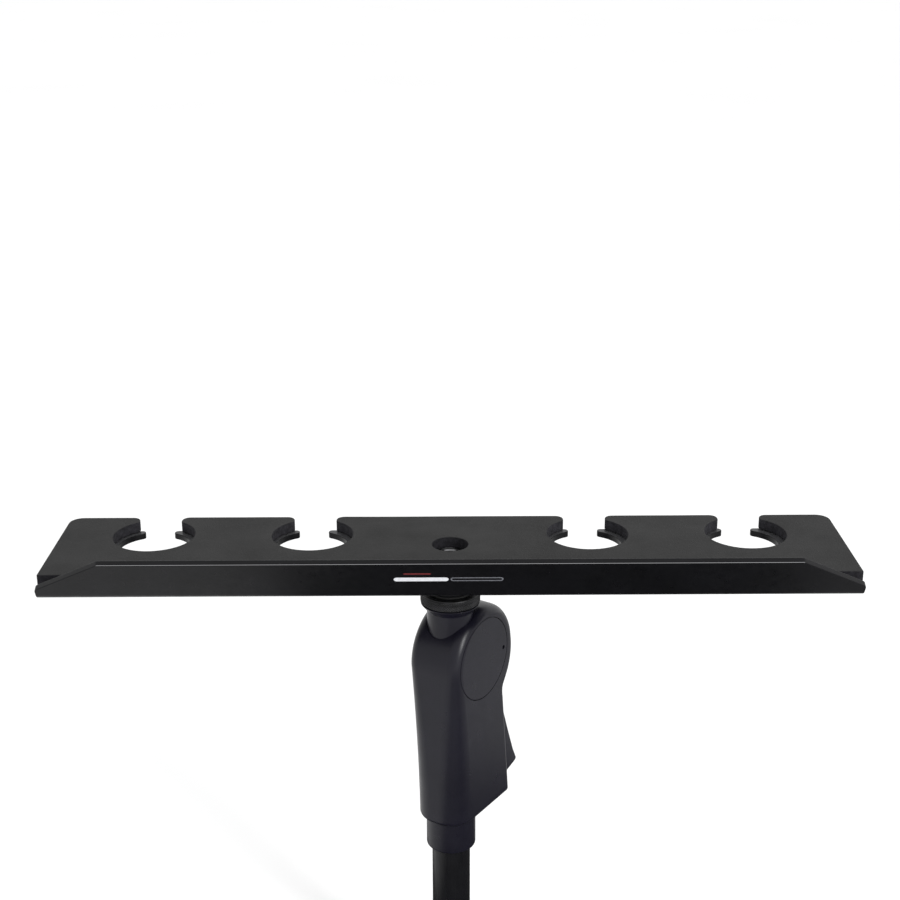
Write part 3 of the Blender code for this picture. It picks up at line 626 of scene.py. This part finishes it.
def flat_sheet(outline, holes, thick, edge):
    """A flat sheet with rounded edges, its lower face at height 0."""
    curve = bpy.data.curves.new("sheet", "CURVE")
    curve.dimensions = "2D"
    curve.fill_mode = "BOTH"
    curve.extrude = thick / 2 - edge
    curve.bevel_depth = edge
    curve.bevel_resolution = 2
    curve.offset = -edge
    for loop in [outline] + holes:
        spline = curve.splines.new("POLY")
        spline.points.add(len(loop) - 1)
        for point, (x, y) in zip(spline.points, loop):
            point.co = (x, y, 0, 1)
        spline.use_cyclic_u = True
    holder = bpy.data.objects.new("sheet", curve)
    bpy.context.scene.collection.objects.link(holder)
    bpy.context.view_layer.update()
    evaluated = holder.evaluated_get(bpy.context.evaluated_depsgraph_get())
    mesh = bpy.data.meshes.new_from_object(evaluated)
    work = bmesh.new()
    work.from_mesh(mesh)
    bmesh.ops.remove_doubles(work, verts=work.verts, dist=MERGE)
    bmesh.ops.translate(work, verts=work.verts, vec=(0, 0, thick / 2))
    bmesh.ops.recalc_face_normals(work, faces=work.faces)
    bpy.data.objects.remove(holder)
    bpy.data.curves.remove(curve)
    bpy.data.meshes.remove(mesh)
    return work


def slice_at(work, axis, places):
    """Cut edges into the mesh along planes square to an axis."""
    normal = Vector((0, 0, 0))
    normal[axis] = 1.0
    for place in places:
        parts = work.verts[:] + work.edges[:] + work.faces[:]
        bmesh.ops.bisect_plane(work, geom=parts, dist=TINY, plane_co=normal * place, plane_no=normal)


def cutter(source, turn=None):
    """An object for a Boolean, removed once it is used."""
    mesh = bpy.data.meshes.new("cutter")
    bmesh.ops.recalc_face_normals(source, faces=source.faces)
    source.to_mesh(mesh)
    source.free()
    if turn is not None:
        mesh.transform(turn)
    made = bpy.data.objects.new("cutter", mesh)
    bpy.context.scene.collection.objects.link(made)
    return made


def cut(source, tools, operation="DIFFERENCE"):
    """The mesh after each tool is taken from it, or met with it."""
    base = cutter(source)
    for tool in tools:
        change = base.modifiers.new("cut", "BOOLEAN")
        change.object = tool
        change.operation = operation
        change.solver = "EXACT"
    bpy.context.view_layer.update()
    evaluated = base.evaluated_get(bpy.context.evaluated_depsgraph_get())
    mesh = bpy.data.meshes.new_from_object(evaluated)
    for item in [base] + tools:
        bpy.data.objects.remove(item)
    return mesh


def mesh_copy(mesh):
    work = bmesh.new()
    work.from_mesh(mesh)
    return work


def cylinder(radius, low, high, steps=FINE_STEPS):
    return lathe([(0, high), (radius, high), (radius, low), (0, low)], steps, closed=False)


def along_y(x, z, y=0.0):
    """Lays an upright piece along Y, with its middle at x, y, z."""
    return Matrix.Translation((x, y, z)) @ Matrix.Rotation(math.radians(90), 4, "X")


def prism(outline, low, high, axis):
    """A flat outline pushed along Y or Z."""
    work = bmesh.new()
    place = {"Y": lambda a, b, c: (a, c, b), "Z": lambda a, b, c: (a, b, c)}[axis]
    ends = []
    for level in (low, high):
        ends.append([work.verts.new(place(a, b, level)) for a, b in outline])
    work.faces.new(ends[0])
    work.faces.new(list(reversed(ends[1])))
    for index in range(len(outline)):
        beside = (index + 1) % len(outline)
        work.faces.new((ends[0][index], ends[1][index], ends[1][beside], ends[0][beside]))
    return work


# ---------------------------------------------------------------- tray
def cut_out(centre_x, radius, slot_half, edge_y, mouth_round):
    """Edge of one cut-out, from the back edge round the hole and out again."""
    neck_x = slot_half + NECK_ROUND
    neck_y = HOLE_Y + math.sqrt((radius + NECK_ROUND) ** 2 - neck_x ** 2)
    lean = math.atan2(neck_y - HOLE_Y, neck_x)
    mouth = arc((slot_half + mouth_round, edge_y - mouth_round), mouth_round, math.pi / 2, math.pi)
    neck = arc((neck_x, neck_y), NECK_ROUND, math.pi, math.pi + lean)
    half = mouth + neck
    hole = arc((0, HOLE_Y), radius, lean, -math.pi - lean)[1:-1]
    left = [(-x, y) for x, y in reversed(half)]
    return [(centre_x + x, y) for x, y in half + hole + left]


def back_edge(half, back, corner, hole_x, radius, slot_half, mouth_round):
    """The sheet's outline from its left side to its right, round the cut-outs."""
    points = arc((-half + corner, back - corner), corner, math.pi, math.pi / 2)
    for centre_x in hole_x:
        points += reversed(cut_out(centre_x, radius, slot_half, back, mouth_round))
    points += arc((half - corner, back - corner), corner, math.pi / 2, 0)
    return points


def circle(radius, count=96):
    """A round hole, wound the other way round from the outline."""
    return [(radius * math.cos(math.tau * i / count), radius * math.sin(math.tau * i / count))
            for i in range(count)]


def bend_length():
    return (LIP_BEND_INNER + PLATE_THICK / 2) * LIP_ANGLE


def folded(x, y, depth):
    """Where a point of the unfolded plate lies: depth is its height over the lower face."""
    if y >= LIP_BEND_Y:
        return Vector((x, y, PLATE_TOP - PLATE_THICK + depth))
    along = LIP_BEND_Y - y
    radius = LIP_BEND_INNER + PLATE_THICK - depth
    angle = min(LIP_ANGLE, along / (LIP_BEND_INNER + PLATE_THICK / 2))
    beyond = max(0.0, along - bend_length())
    return Vector((x,
                   LIP_BEND_Y - radius * math.sin(angle) - beyond * math.cos(LIP_ANGLE),
                   PLATE_TOP + LIP_BEND_INNER - radius * math.cos(angle)
                   + beyond * math.sin(LIP_ANGLE)))


def lip_y(rise):
    """The unfolded plate's y at a distance up the lip from the end of its bend."""
    return LIP_BEND_Y - bend_length() - rise


def build_plate():
    half = PLATE_HIGH.x
    back = PLATE_HIGH.y
    front = rounded([(half, LIP_BEND_Y), (half, lip_y(LIP_END_LENGTH)),
                     (LIP_FULL_HALF, lip_y(LIP_LENGTH)), (-LIP_FULL_HALF, lip_y(LIP_LENGTH)),
                     (-half, lip_y(LIP_END_LENGTH)), (-half, LIP_BEND_Y)],
                    LIP_CORNER, closed=False)
    outline = back_edge(half, back, PLATE_CORNER, PLATE_HOLE_X, PLATE_HOLE_RADIUS,
                        PLATE_SLOT_HALF, PLATE_MOUTH_ROUND) + front
    work = flat_sheet(outline, [circle(BOSS_SPIGOT_RADIUS + GAP)], PLATE_THICK, PLATE_EDGE)
    slice_at(work, 1, [LIP_BEND_Y - bend_length() * i / BEND_STEPS for i in range(BEND_STEPS + 1)])
    for vert in work.verts:
        vert.co = folded(*vert.co)
    piece("tray_plate_bent", work, POWDER_COAT, "tray", ["tray_plate"],
          angle=50, flat_faces=True)


def build_pad():
    half = PAD_HIGH.x
    outline = back_edge(half, PAD_HIGH.y, PAD_CORNER, PAD_HOLE_X, PAD_HOLE_RADIUS,
                        PAD_SLOT_HALF, PAD_MOUTH_ROUND)
    outline += rounded([(half, 0.0), (half, PAD_LOW.y), (-half, PAD_LOW.y), (-half, 0.0)],
                       PAD_EDGE, closed=False)
    thick = PAD_HIGH.z - PAD_LOW.z
    work = flat_sheet(outline, [circle(CENTRE_HOLE_RADIUS)], thick, PAD_EDGE)
    for axis, low, high in ((0, PAD_LOW.x, PAD_HIGH.x), (1, PAD_LOW.y, PAD_HIGH.y)):
        count = math.ceil((high - low) / PAD_GRID)
        slice_at(work, axis, [low + (high - low) * i / count for i in range(1, count)])
    for vert in work.verts:
        share = vert.co.z / thick
        dip = 1.0
        for scale, level, part in PAD_WAVES:
            dip += part * noise.noise(Vector((vert.co.x * scale, vert.co.y * scale, level)))
        vert.co.z += PAD_LOW.z - PAD_WAVE * share * dip
    pad = piece("foam_pad_cut", work, FOAM, "tray", ["foam_pad"], angle=60, flat_faces=True)


def build_boss():
    top = BOSS_HIGH.z
    shoulder = PLATE_LOW.z - GAP
    foot = BOSS_LOW.z
    mouth = BORE_RADIUS + BOSS_CHAMFER
    outer = rounded([(mouth, top), (BOSS_SPIGOT_RADIUS, top), (BOSS_SPIGOT_RADIUS, shoulder),
                     (BOSS_HIGH.x, shoulder), (BOSS_HIGH.x, foot), (mouth, foot)],
                    BOSS_CHAMFER, closed=False)
    low, high = foot + BOSS_CHAMFER, top - BOSS_CHAMFER
    bore = rows_between(BORE_RADIUS, low, high, THREAD_PITCH / ROWS_PER_TURN)
    shape = thread(BORE_RADIUS, low, high, THREAD_PITCH, THREAD_DEPTH)
    piece("thread_boss_turned", lathe(outer + bore, BORE_STEPS, shape=shape), POWDER_COAT, "tray",
          ["thread_boss"], angle=32)

    root = BOSS_HIGH.x + WELD_CLEAR
    weld = rounded([(root, shoulder + WELD_DROP), (BOSS_HIGH.x + WELD_LEG, shoulder + WELD_DROP),
                    (root, shoulder - WELD_LEG)], WELD_ROUND)

    def ripple(radius, angle, _height):
        swing = WELD_RIPPLE * math.sin(angle * WELD_RIPPLES)
        return radius + swing * (radius > BOSS_HIGH.x + WELD_ROOT)
    piece("boss_weld", lathe(weld, WELD_RIPPLES * WELD_STEPS, shape=ripple), POWDER_COAT, "tray",
          angle=50)


def lip_patch(name, left, right, low, high, material, ring=0.0):
    """A printed bar with round ends on the lip's front, or its outline only."""
    half = (high - low) / 2
    middle = (low + high) / 2
    loops = []
    for inset in (0.0, ring) if ring else (0.0,):
        radius = half - inset
        loops.append(arc((right - half, middle), radius, -math.pi / 2, math.pi / 2)
                     + arc((left + half, middle), radius, math.pi / 2, 1.5 * math.pi))
    work = bmesh.new()
    sides = []
    for depth in (-MARK_THICK, MARK_THICK):
        rings = [[work.verts.new(folded(x, lip_y(rise), depth)) for x, rise in loop] for loop in loops]
        sides.append(rings)
        if ring:
            count = len(rings[0])
            for i in range(count):
                j = (i + 1) % count
                work.faces.new((rings[0][i], rings[0][j], rings[1][j], rings[1][i]))
        else:
            work.faces.new(rings[0])
    for loop_index in range(len(loops)):
        near, far = sides[0][loop_index], sides[1][loop_index]
        for i in range(len(near)):
            j = (i + 1) % len(near)
            work.faces.new((near[i], near[j], far[j], far[i]))
    piece(name, work, material, "tray")


def build_mark():
    low, high = MARK_RISE - MARK_HEIGHT / 2, MARK_RISE + MARK_HEIGHT / 2
    lip_patch("mark_light_bar", MARK_LEFT, MARK_MIDDLE, low, high, LIGHT_INK)
    lip_patch("mark_grey_bar", MARK_MIDDLE + MARK_GAP, MARK_RIGHT, low, high, GREY_INK,
              ring=MARK_LINE)
    lip_patch("mark_red_dash", DASH_LEFT, DASH_RIGHT, DASH_RISE - DASH_HEIGHT / 2,
              DASH_RISE + DASH_HEIGHT / 2, RED_INK)


# ---------------------------------------------------------------- lock ring and stud
def build_washer():
    profile = rounded([(WASHER_HIGH.x, WASHER_HIGH.z), (WASHER_HIGH.x, WASHER_LOW.z),
                       (BORE_RADIUS, WASHER_LOW.z), (BORE_RADIUS, WASHER_HIGH.z)], WASHER_ROUND)
    piece("lock_ring_washer_soft", lathe(profile), RUBBER, "lock_ring",
          ["lock_ring_washer"])


def build_lock_ring():
    top, bottom = RING_HIGH.z, RING_LOW.z
    valley = RING_RADIUS - KNURL_DEPTH
    rim = RING_RADIUS - RING_CHAMFER
    head = rounded([(BORE_RADIUS + RING_BORE_CHAMFER, top), (rim, top),
                    (valley, top - RING_CHAMFER_DROP)], RING_ROUND, closed=False)
    band_low = bottom + KNURL_RISE
    band = rows_between(RING_RADIUS, top - KNURL_DROP, band_low, KNURL_ROW)
    foot = rounded([(valley, bottom + RING_CHAMFER_RISE), (rim, bottom),
                    (BORE_RADIUS + RING_BORE_FOOT, bottom),
                    (BORE_RADIUS, bottom + RING_BORE_CHAMFER),
                    (BORE_RADIUS, top - RING_BORE_CHAMFER)], RING_ROUND, closed=False)

    def knurl(radius, angle, height):
        if abs(radius - RING_RADIUS) > TINY:
            return radius
        climb = (height - band_low) * KNURL_COUNT / RING_RADIUS
        turn = angle * KNURL_COUNT
        diamond = (2 + math.cos(turn + climb) + math.cos(turn - climb)) / 4
        return radius - KNURL_DEPTH * (1 - diamond)
    piece("lock_ring_knurled", lathe(head + band + foot, KNURL_COUNT * KNURL_STEPS, shape=knurl),
          RING_METAL, "lock_ring", ["lock_ring"])


def build_stud():
    top, foot = STUD_HIGH.z, STUD_LOW.z
    shoulder = MAST_HIGH.z + GAP
    inner = MAST_RADIUS - MAST_WALL - GAP
    root = STUD_RADIUS - THREAD_DEPTH
    profile = [(radius, top + depth) for radius, depth in STUD_DIMPLE]
    profile += [(STUD_RADIUS - STUD_CHAMFER, top)]
    profile += rows_between(root, top - STUD_CHAMFER, shoulder + STUD_RELIEF,
                            THREAD_PITCH / ROWS_PER_TURN)
    profile += [(STUD_RADIUS, shoulder + STUD_SHOULDER), (STUD_RADIUS, shoulder), (inner, shoulder)]
    profile += [(inner, foot + STUD_PLUG_CHAMFER), (inner - STUD_PLUG_CHAMFER, foot), (0, foot)]
    shape = thread(root, shoulder + STUD_FADE, top - STUD_CHAMFER / 2, THREAD_PITCH, THREAD_DEPTH)
    piece("thread_stud_cut", lathe(profile, BORE_STEPS, closed=False, shape=shape), RING_METAL,
          "mast", ["thread_stud"], angle=32)


# ---------------------------------------------------------------- tubes
def tube(name, outer, inner, low, high, body, node):
    """A painted tube with its ends turned slightly in."""
    profile = rounded([(outer, high), (outer, low), (inner, low), (inner, high)], TUBE_EDGE)
    piece(name, lathe(profile), TUBE_PAINT, body, [node])


def build_plug():
    cut_wall_with_painted_shade = PLUG_HIGH.x - TUBE_WALL - GAP
    top = PLUG_HIGH.z
    mouth = PLUG_BORE + PLUG_CHAMFER
    outer = rounded([(mouth, top), (cut_wall_with_painted_shade, top), (cut_wall_with_painted_shade, PLUG_FLANGE), (TUBE_RADIUS, PLUG_FLANGE),
                     (TUBE_RADIUS, 0), (mouth, 0)], PLUG_ROUND, closed=False)
    low, high = PLUG_CHAMFER, top - PLUG_CHAMFER
    bore = rows_between(PLUG_BORE, low, high, PLUG_THREAD_PITCH / ROWS_PER_TURN)
    shape = thread(PLUG_BORE, low, high, PLUG_THREAD_PITCH, PLUG_THREAD_DEPTH)
    piece("tube_end_plug_tapped", lathe(outer + bore, BORE_STEPS, shape=shape), PLATED_STEEL,
          "stand", ["tube_end_plug"], angle=32)


def radial(height, distance):
    """Lays an upright piece along the grip's X, at a distance from the tube's axis."""
    return (GRIP @ Matrix.Translation((distance, 0, height))
            @ Matrix.Rotation(math.pi / 2, 4, "Y"))


def build_collar():
    inner = TUBE_RADIUS + GAP
    low, high = COLLAR_LOW.z, COLLAR_HIGH.z
    turned_in = rounded([(COLLAR_RADIUS, low + COLLAR_ROUND), (COLLAR_RADIUS, low + COLLAR_FOOT_RISE),
                         (inner + COLLAR_MOUTH, low)], COLLAR_FOOT_ROUND, closed=False, steps=8)
    profile = [(COLLAR_RADIUS, high)] + turned_in
    profile += [(inner, low + COLLAR_MOUTH_RISE), (inner, high)]
    screw_z = high - SCREW_DROP
    hole = cutter(cylinder(SCREW_HOLE_RADIUS, -PAST, PAST, SCREW_HOLE_STEPS),
                  radial(screw_z, COLLAR_RADIUS))
    piece("collar_moulded", cut(lathe(profile), [hole]), NYLON, "stand", ["collar"])

    slot = [(-SCREW_SLOT_LONG, -SCREW_SLOT_WIDE), (SCREW_SLOT_LONG, -SCREW_SLOT_WIDE),
            (SCREW_SLOT_LONG, SCREW_SLOT_WIDE), (-SCREW_SLOT_LONG, SCREW_SLOT_WIDE)]
    slots = []
    for quarter in (0, 1):
        bar = prism(slot, SCREW_SLOT_LOW, SCREW_SLOT_HIGH, "Z")
        slots.append(cutter(bar, Matrix.Rotation(quarter * math.pi / 2, 4, "Z")))
    head = lathe(SCREW_HEAD, DRILL_STEPS, closed=False)
    piece("collar_screw_head", cut(head, slots), PLATED_STEEL, "stand",
          ["collar_screw"], turn=radial(screw_z, inner + SCREW_SEAT))


# ---------------------------------------------------------------- grip housing
def ease(fraction):
    return 1 - (1 - fraction) ** EASE_POWER


def head_half_width(height):
    rise = abs(height - HEAD_Z)
    return math.sqrt(max(0.0, HEAD_RADIUS ** 2 - rise ** 2))


def below_head(height):
    return (HEAD_Z - height) / (HEAD_Z - BASE_Z)


def front_x(height):
    if height > HEAD_Z:
        return HEAD_X - head_half_width(height)
    return HEAD_X - HEAD_RADIUS + FRONT_DRAFT * ease(below_head(height))


def back_x(height):
    """The head's circle, blended into the line that runs out to the base."""
    head = HEAD_X + head_half_width(height)
    slope = (BASE_BACK_X - WAIST_X) / (WAIST_Z - BASE_Z)
    line = WAIST_X + (WAIST_Z - height) * slope
    if height > HEAD_Z:
        return head
    return (head + line + math.hypot(head - line, WAIST_BLEND)) / 2


def front_round(height):
    if height > HEAD_Z:
        return HEAD_ROUND
    return HEAD_ROUND + FRONT_ROUND_GROWTH * ease(below_head(height))


def back_round(height):
    if height > HEAD_Z:
        return HEAD_ROUND
    fraction = min(1.0, (HEAD_Z - height) / (HEAD_Z - WAIST_Z))
    return HEAD_ROUND + (BACK_ROUND - HEAD_ROUND) * fraction


def section(height, inset, steps=12):
    """One level outline of the housing."""
    low, high = front_x(height) + inset, back_x(height) - inset
    half = HALF_THICK - inset
    depth = HEAD_Z + HEAD_RADIUS - height
    stretch = 1.0
    if height > HEAD_Z:
        stretch = HEAD_RADIUS / head_half_width(height)
    if depth < HEAD_ROUND:
        left = HEAD_ROUND - depth
        half = HALF_THICK - HEAD_ROUND + math.sqrt(HEAD_ROUND ** 2 - left ** 2)
    room = (high - low) / 2 * MOST_ROUND
    corners = []
    for radius, x_sign, edge in ((front_round(height), -1, low), (back_round(height), 1, high)):
        reach = max(radius - inset, LEAST_ROUND)
        wide = min(reach * stretch, room)
        deep = min(reach, half * MOST_ROUND)
        corners.append((edge - x_sign * wide, x_sign, wide, deep))
    points = []
    for (centre_x, x_sign, wide, deep), y_sign in (
            (corners[0], -1), (corners[1], -1), (corners[1], 1), (corners[0], 1)):
        turn = [index / steps * math.pi / 2 for index in range(steps + 1)]
        if x_sign * y_sign < 0:
            turn.reverse()
        for angle in turn:
            points.append((centre_x + x_sign * wide * math.cos(angle),
                           y_sign * (half - deep + deep * math.sin(angle)), height))
    if points[0][1] > points[len(points) // 2][1]:
        points.reverse()
    return points


def housing_levels():
    """Heights and insets of the housing's sections, from the base up."""
    levels = []
    for index in range(BASE_LEVELS):
        angle = index / BASE_LEVELS * math.pi / 2
        levels.append((BASE_Z + BASE_ROUND * (1 - math.cos(angle)),
                       BASE_ROUND * (1 - math.sin(angle))))
    low = BASE_Z + BASE_ROUND
    for index in range(BODY_LEVELS):
        levels.append((low + (HEAD_Z - low) * index / BODY_LEVELS, 0.0))
    for index in range(HEAD_LEVELS):
        angle = HEAD_END * (index / (HEAD_LEVELS - 1)) ** HEAD_CROWDING
        levels.append((HEAD_Z + HEAD_RADIUS * math.sin(angle), 0.0))
    return levels


def housing_form():
    """The closed outer form of the housing."""
    rings = [section(*level) for level in housing_levels()]
    work = bmesh.new()
    rows = [[work.verts.new(point) for point in ring] for ring in rings]
    for lower, upper in zip(rows, rows[1:]):
        for index in range(len(lower)):
            beside = (index + 1) % len(lower)
            work.faces.new((lower[index], lower[beside], upper[beside], upper[index]))
    work.faces.new(list(reversed(rows[0])))
    work.faces.new(rows[-1])
    bmesh.ops.recalc_face_normals(work, faces=work.faces)
    return work


def cavity_outline():
    """Side view of the room inside the housing."""
    start = math.asin((CAVITY_TOP - HEAD_Z) / CAVITY_RADIUS)
    end = -math.acos((CAVITY_BACK - HEAD_X) / CAVITY_RADIUS)
    return ([(CAVITY_FRONT + CAVITY_BEVEL, CAVITY_TOP)]
            + arc((HEAD_X, HEAD_Z), CAVITY_RADIUS, start, end)
            + [(CAVITY_BACK, CAVITY_FLOOR),
               (CAVITY_NARROW, CAVITY_FLOOR),
               (CAVITY_NARROW, LEDGE_LOW),
               (CAVITY_FRONT, LEDGE_HIGH),
               (CAVITY_FRONT, CAVITY_TOP - CAVITY_BEVEL_DROP)])


def pin_drill():
    """A cutter for the pin's hole, through the whole width of the grip."""
    return cutter(cylinder(PIN_RADIUS + GAP, -ACROSS, ACROSS, DRILL_STEPS), along_y(PIVOT_X, PIVOT_Z))


def build_housing():
    slot = [(SLOT_FRONT, BASE_Z - PAST), (SLOT_BACK, BASE_Z - PAST),
            (SLOT_BACK, SLOT_TOP), (SLOT_FRONT, SLOT_TOP)]
    tools = [cutter(prism(cavity_outline(), -CAVITY_HALF, CAVITY_HALF, "Y")),
             cutter(cylinder(NECK_RADIUS + GAP, CAVITY_TOP - NECK_BORE_OVERLAP, PAD_TOP)),
             cutter(cylinder(TUBE_RADIUS + GAP, BASE_Z - PAST, CAVITY_FLOOR + TUBE_BORE_OVERLAP)),
             cutter(prism(slot, -SLOT_HALF, SLOT_HALF, "Y")),
             pin_drill()]
    for side in (-1, 1):
        middle = side * (HALF_THICK - CAP_RECESS + PAST)
        tools.append(cutter(cylinder(CAP_RADIUS, -PAST, PAST), along_y(CAP_X, CAP_Z, middle)))
    mesh = cut(housing_form(), tools)
    piece("grip_housing_moulded", mesh, NYLON, "stand", ["grip_housing"],
          angle=32, turn=GRIP, flat_faces=True)


def build_side_caps():
    """Round caps, flush with the housing's outer form."""
    half_thick = (CAP_RECESS - GAP) / 2
    rim = CAP_RADIUS - GAP
    profile = rounded([(0, half_thick), (rim, half_thick), (rim, -half_thick), (0, -half_thick)],
                      CAP_EDGE, closed=False)
    for side, label in ((-1, "right"), (1, "left")):
        blank = lathe(profile, closed=False)
        place = along_y(CAP_X, CAP_Z, side * (HALF_THICK - half_thick))
        bmesh.ops.transform(blank, matrix=place, verts=blank.verts)
        flush = cut(blank, [cutter(housing_form())], "INTERSECT")
        hole = cutter(cylinder(CAP_HOLE_RADIUS, -PAST, PAST, CAP_HOLE_STEPS),
                      along_y(PIVOT_X, PIVOT_Z, side * HALF_THICK))
        drilled = cut(mesh_copy(flush), [hole])
        piece(f"side_cap_{label}_disc", drilled, NYLON, "stand", [f"side_cap_{label}"],
              angle=32, turn=GRIP, flat_faces=True)


def build_neck():
    flare, top, bore = NECK_HIGH.x, NECK_HIGH.z, MAST_RADIUS + RUNNING
    profile = rounded([(flare, top), (flare, top - NECK_RIM), (NECK_RADIUS, NECK_FLARE_FOOT),
                       (NECK_RADIUS, NECK_LOW.z), (bore, NECK_LOW.z), (bore, top)], NECK_EDGE)
    piece("neck_bush_moulded", lathe(profile), NYLON, "stand", ["neck_bush"])


# ---------------------------------------------------------------- trigger
def trigger_outline():
    """Side view of the lever, with its nose and the boss round its pin."""
    lever = [(x, PAD_TOP + z) for x, z in LEVER]
    nose = [(NOSE_TIP_X + x, NOSE_TOP_Z + z) for x, z in NOSE]
    boss = arc((PIVOT_X, PIVOT_Z), TRIGGER_BOSS_RADIUS, *TRIGGER_BOSS_ARC)
    return lever + nose + boss


def build_trigger():
    outline = rounded(trigger_outline(), TRIGGER_SMOOTHING, steps=5, least=2)
    work = flat_sheet(outline, [], TRIGGER_HALF * 2, TRIGGER_EDGE)
    bmesh.ops.translate(work, verts=work.verts, vec=(0, 0, -TRIGGER_HALF))
    bmesh.ops.transform(work, matrix=along_y(0, 0), verts=work.verts)
    piece("trigger_lever", cut(work, [pin_drill()]), NYLON, "trigger", ["trigger"],
          angle=40, turn=GRIP, flat_faces=True)


# ---------------------------------------------------------------- carried-over nodes
def dress_nodes():
    """Materials for the CAD nodes that stay as they are."""
    slots = {"inner_tube_ferrule": ACETAL, "lower_bush": ACETAL, "trigger_pin": PLATED_STEEL,
             "trigger_spacer": ACETAL, "trigger_spring": SPRING_STEEL,
             "lock_plate_lower": PLATED_STEEL, "lock_plate_middle": PLATED_STEEL,
             "lock_plate_upper": PLATED_STEEL, "fulcrum_insert": PLATED_STEEL,
             "plate_spring": SPRING_STEEL, "spring_washer": PLATED_STEEL}
    for name, material in slots.items():
        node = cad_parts[name]
        node.data.materials.clear()
        node.data.materials.append(material)


# ---------------------------------------------------------------- studio
def key_light():
    data = bpy.data.lights.new("key_softbox", "AREA")
    data.shape = "RECTANGLE"
    data.size, data.size_y = KEY_SIZE
    data.energy = KEY_POWER
    made = bpy.data.objects.new("key_softbox", data)
    bpy.context.scene.collection.objects.link(made)
    made.location = KEY_PLACE
    made.rotation_euler = (Vector(KEY_AIM) - Vector(KEY_PLACE)).to_track_quat("-Z", "Y").to_euler()


def staged_plane(name, low, high, height, material):
    """A level rectangle that belongs to the studio."""
    work = bmesh.new()
    corners = ((low[0], low[1]), (high[0], low[1]), (high[0], high[1]), (low[0], high[1]))
    work.faces.new([work.verts.new((x, y, height)) for x, y in corners])
    mesh = bpy.data.meshes.new(name)
    work.to_mesh(mesh)
    work.free()
    mesh.materials.append(material)
    made = bpy.data.objects.new(name, mesh)
    bpy.context.scene.collection.objects.link(made)
    return made


def build_studio():
    staged_plane("studio_floor", (-FLOOR_HALF, -FLOOR_HALF), (FLOOR_HALF, FLOOR_HALF), FLOOR_Z,
                 studio_floor())
    for name, (low, high, height, shade) in CARDS.items():
        card = staged_plane(name, low, high, height, card_paper(name, shade))
        card.visible_camera = False
        card.visible_diffuse = False
        card.visible_transmission = False
        card.visible_shadow = False

    world = bpy.data.worlds.new("studio")
    bpy.context.scene.world = world
    world.use_nodes = True
    background = world.node_tree.nodes["Background"]
    background.inputs["Color"].default_value = (1.0, 1.0, 1.0, 1.0)
    background.inputs["Strength"].default_value = WORLD_STRENGTH
    key_light()
    bpy.context.scene.view_settings.view_transform = "Standard"


def build_camera():
    data = bpy.data.cameras.new("camera")
    data.sensor_width = CAMERA_SENSOR
    data.lens = CAMERA_LENS
    data.clip_end = 100
    camera = bpy.data.objects.new("camera", data)
    bpy.context.scene.collection.objects.link(camera)
    camera.location = CAMERA_PLACE
    camera.rotation_euler = [math.radians(angle) for angle in CAMERA_TILT]
    bpy.context.scene.camera = camera


# ---------------------------------------------------------------- assembly
build_camera()
build_plate()
build_pad()
build_boss()
build_mark()
build_washer()
build_lock_ring()
build_stud()
tube("inner_tube_painted", MAST_RADIUS, MAST_RADIUS - MAST_WALL, MAST_LOW.z, MAST_HIGH.z,
     "mast", "inner_tube")
tube("outer_tube_painted", TUBE_RADIUS, TUBE_RADIUS - TUBE_WALL, TUBE_LOW.z, TUBE_HIGH.z,
     "stand", "outer_tube")
build_plug()
build_collar()
build_housing()
build_side_caps()
build_neck()
build_trigger()
dress_nodes()
build_studio()
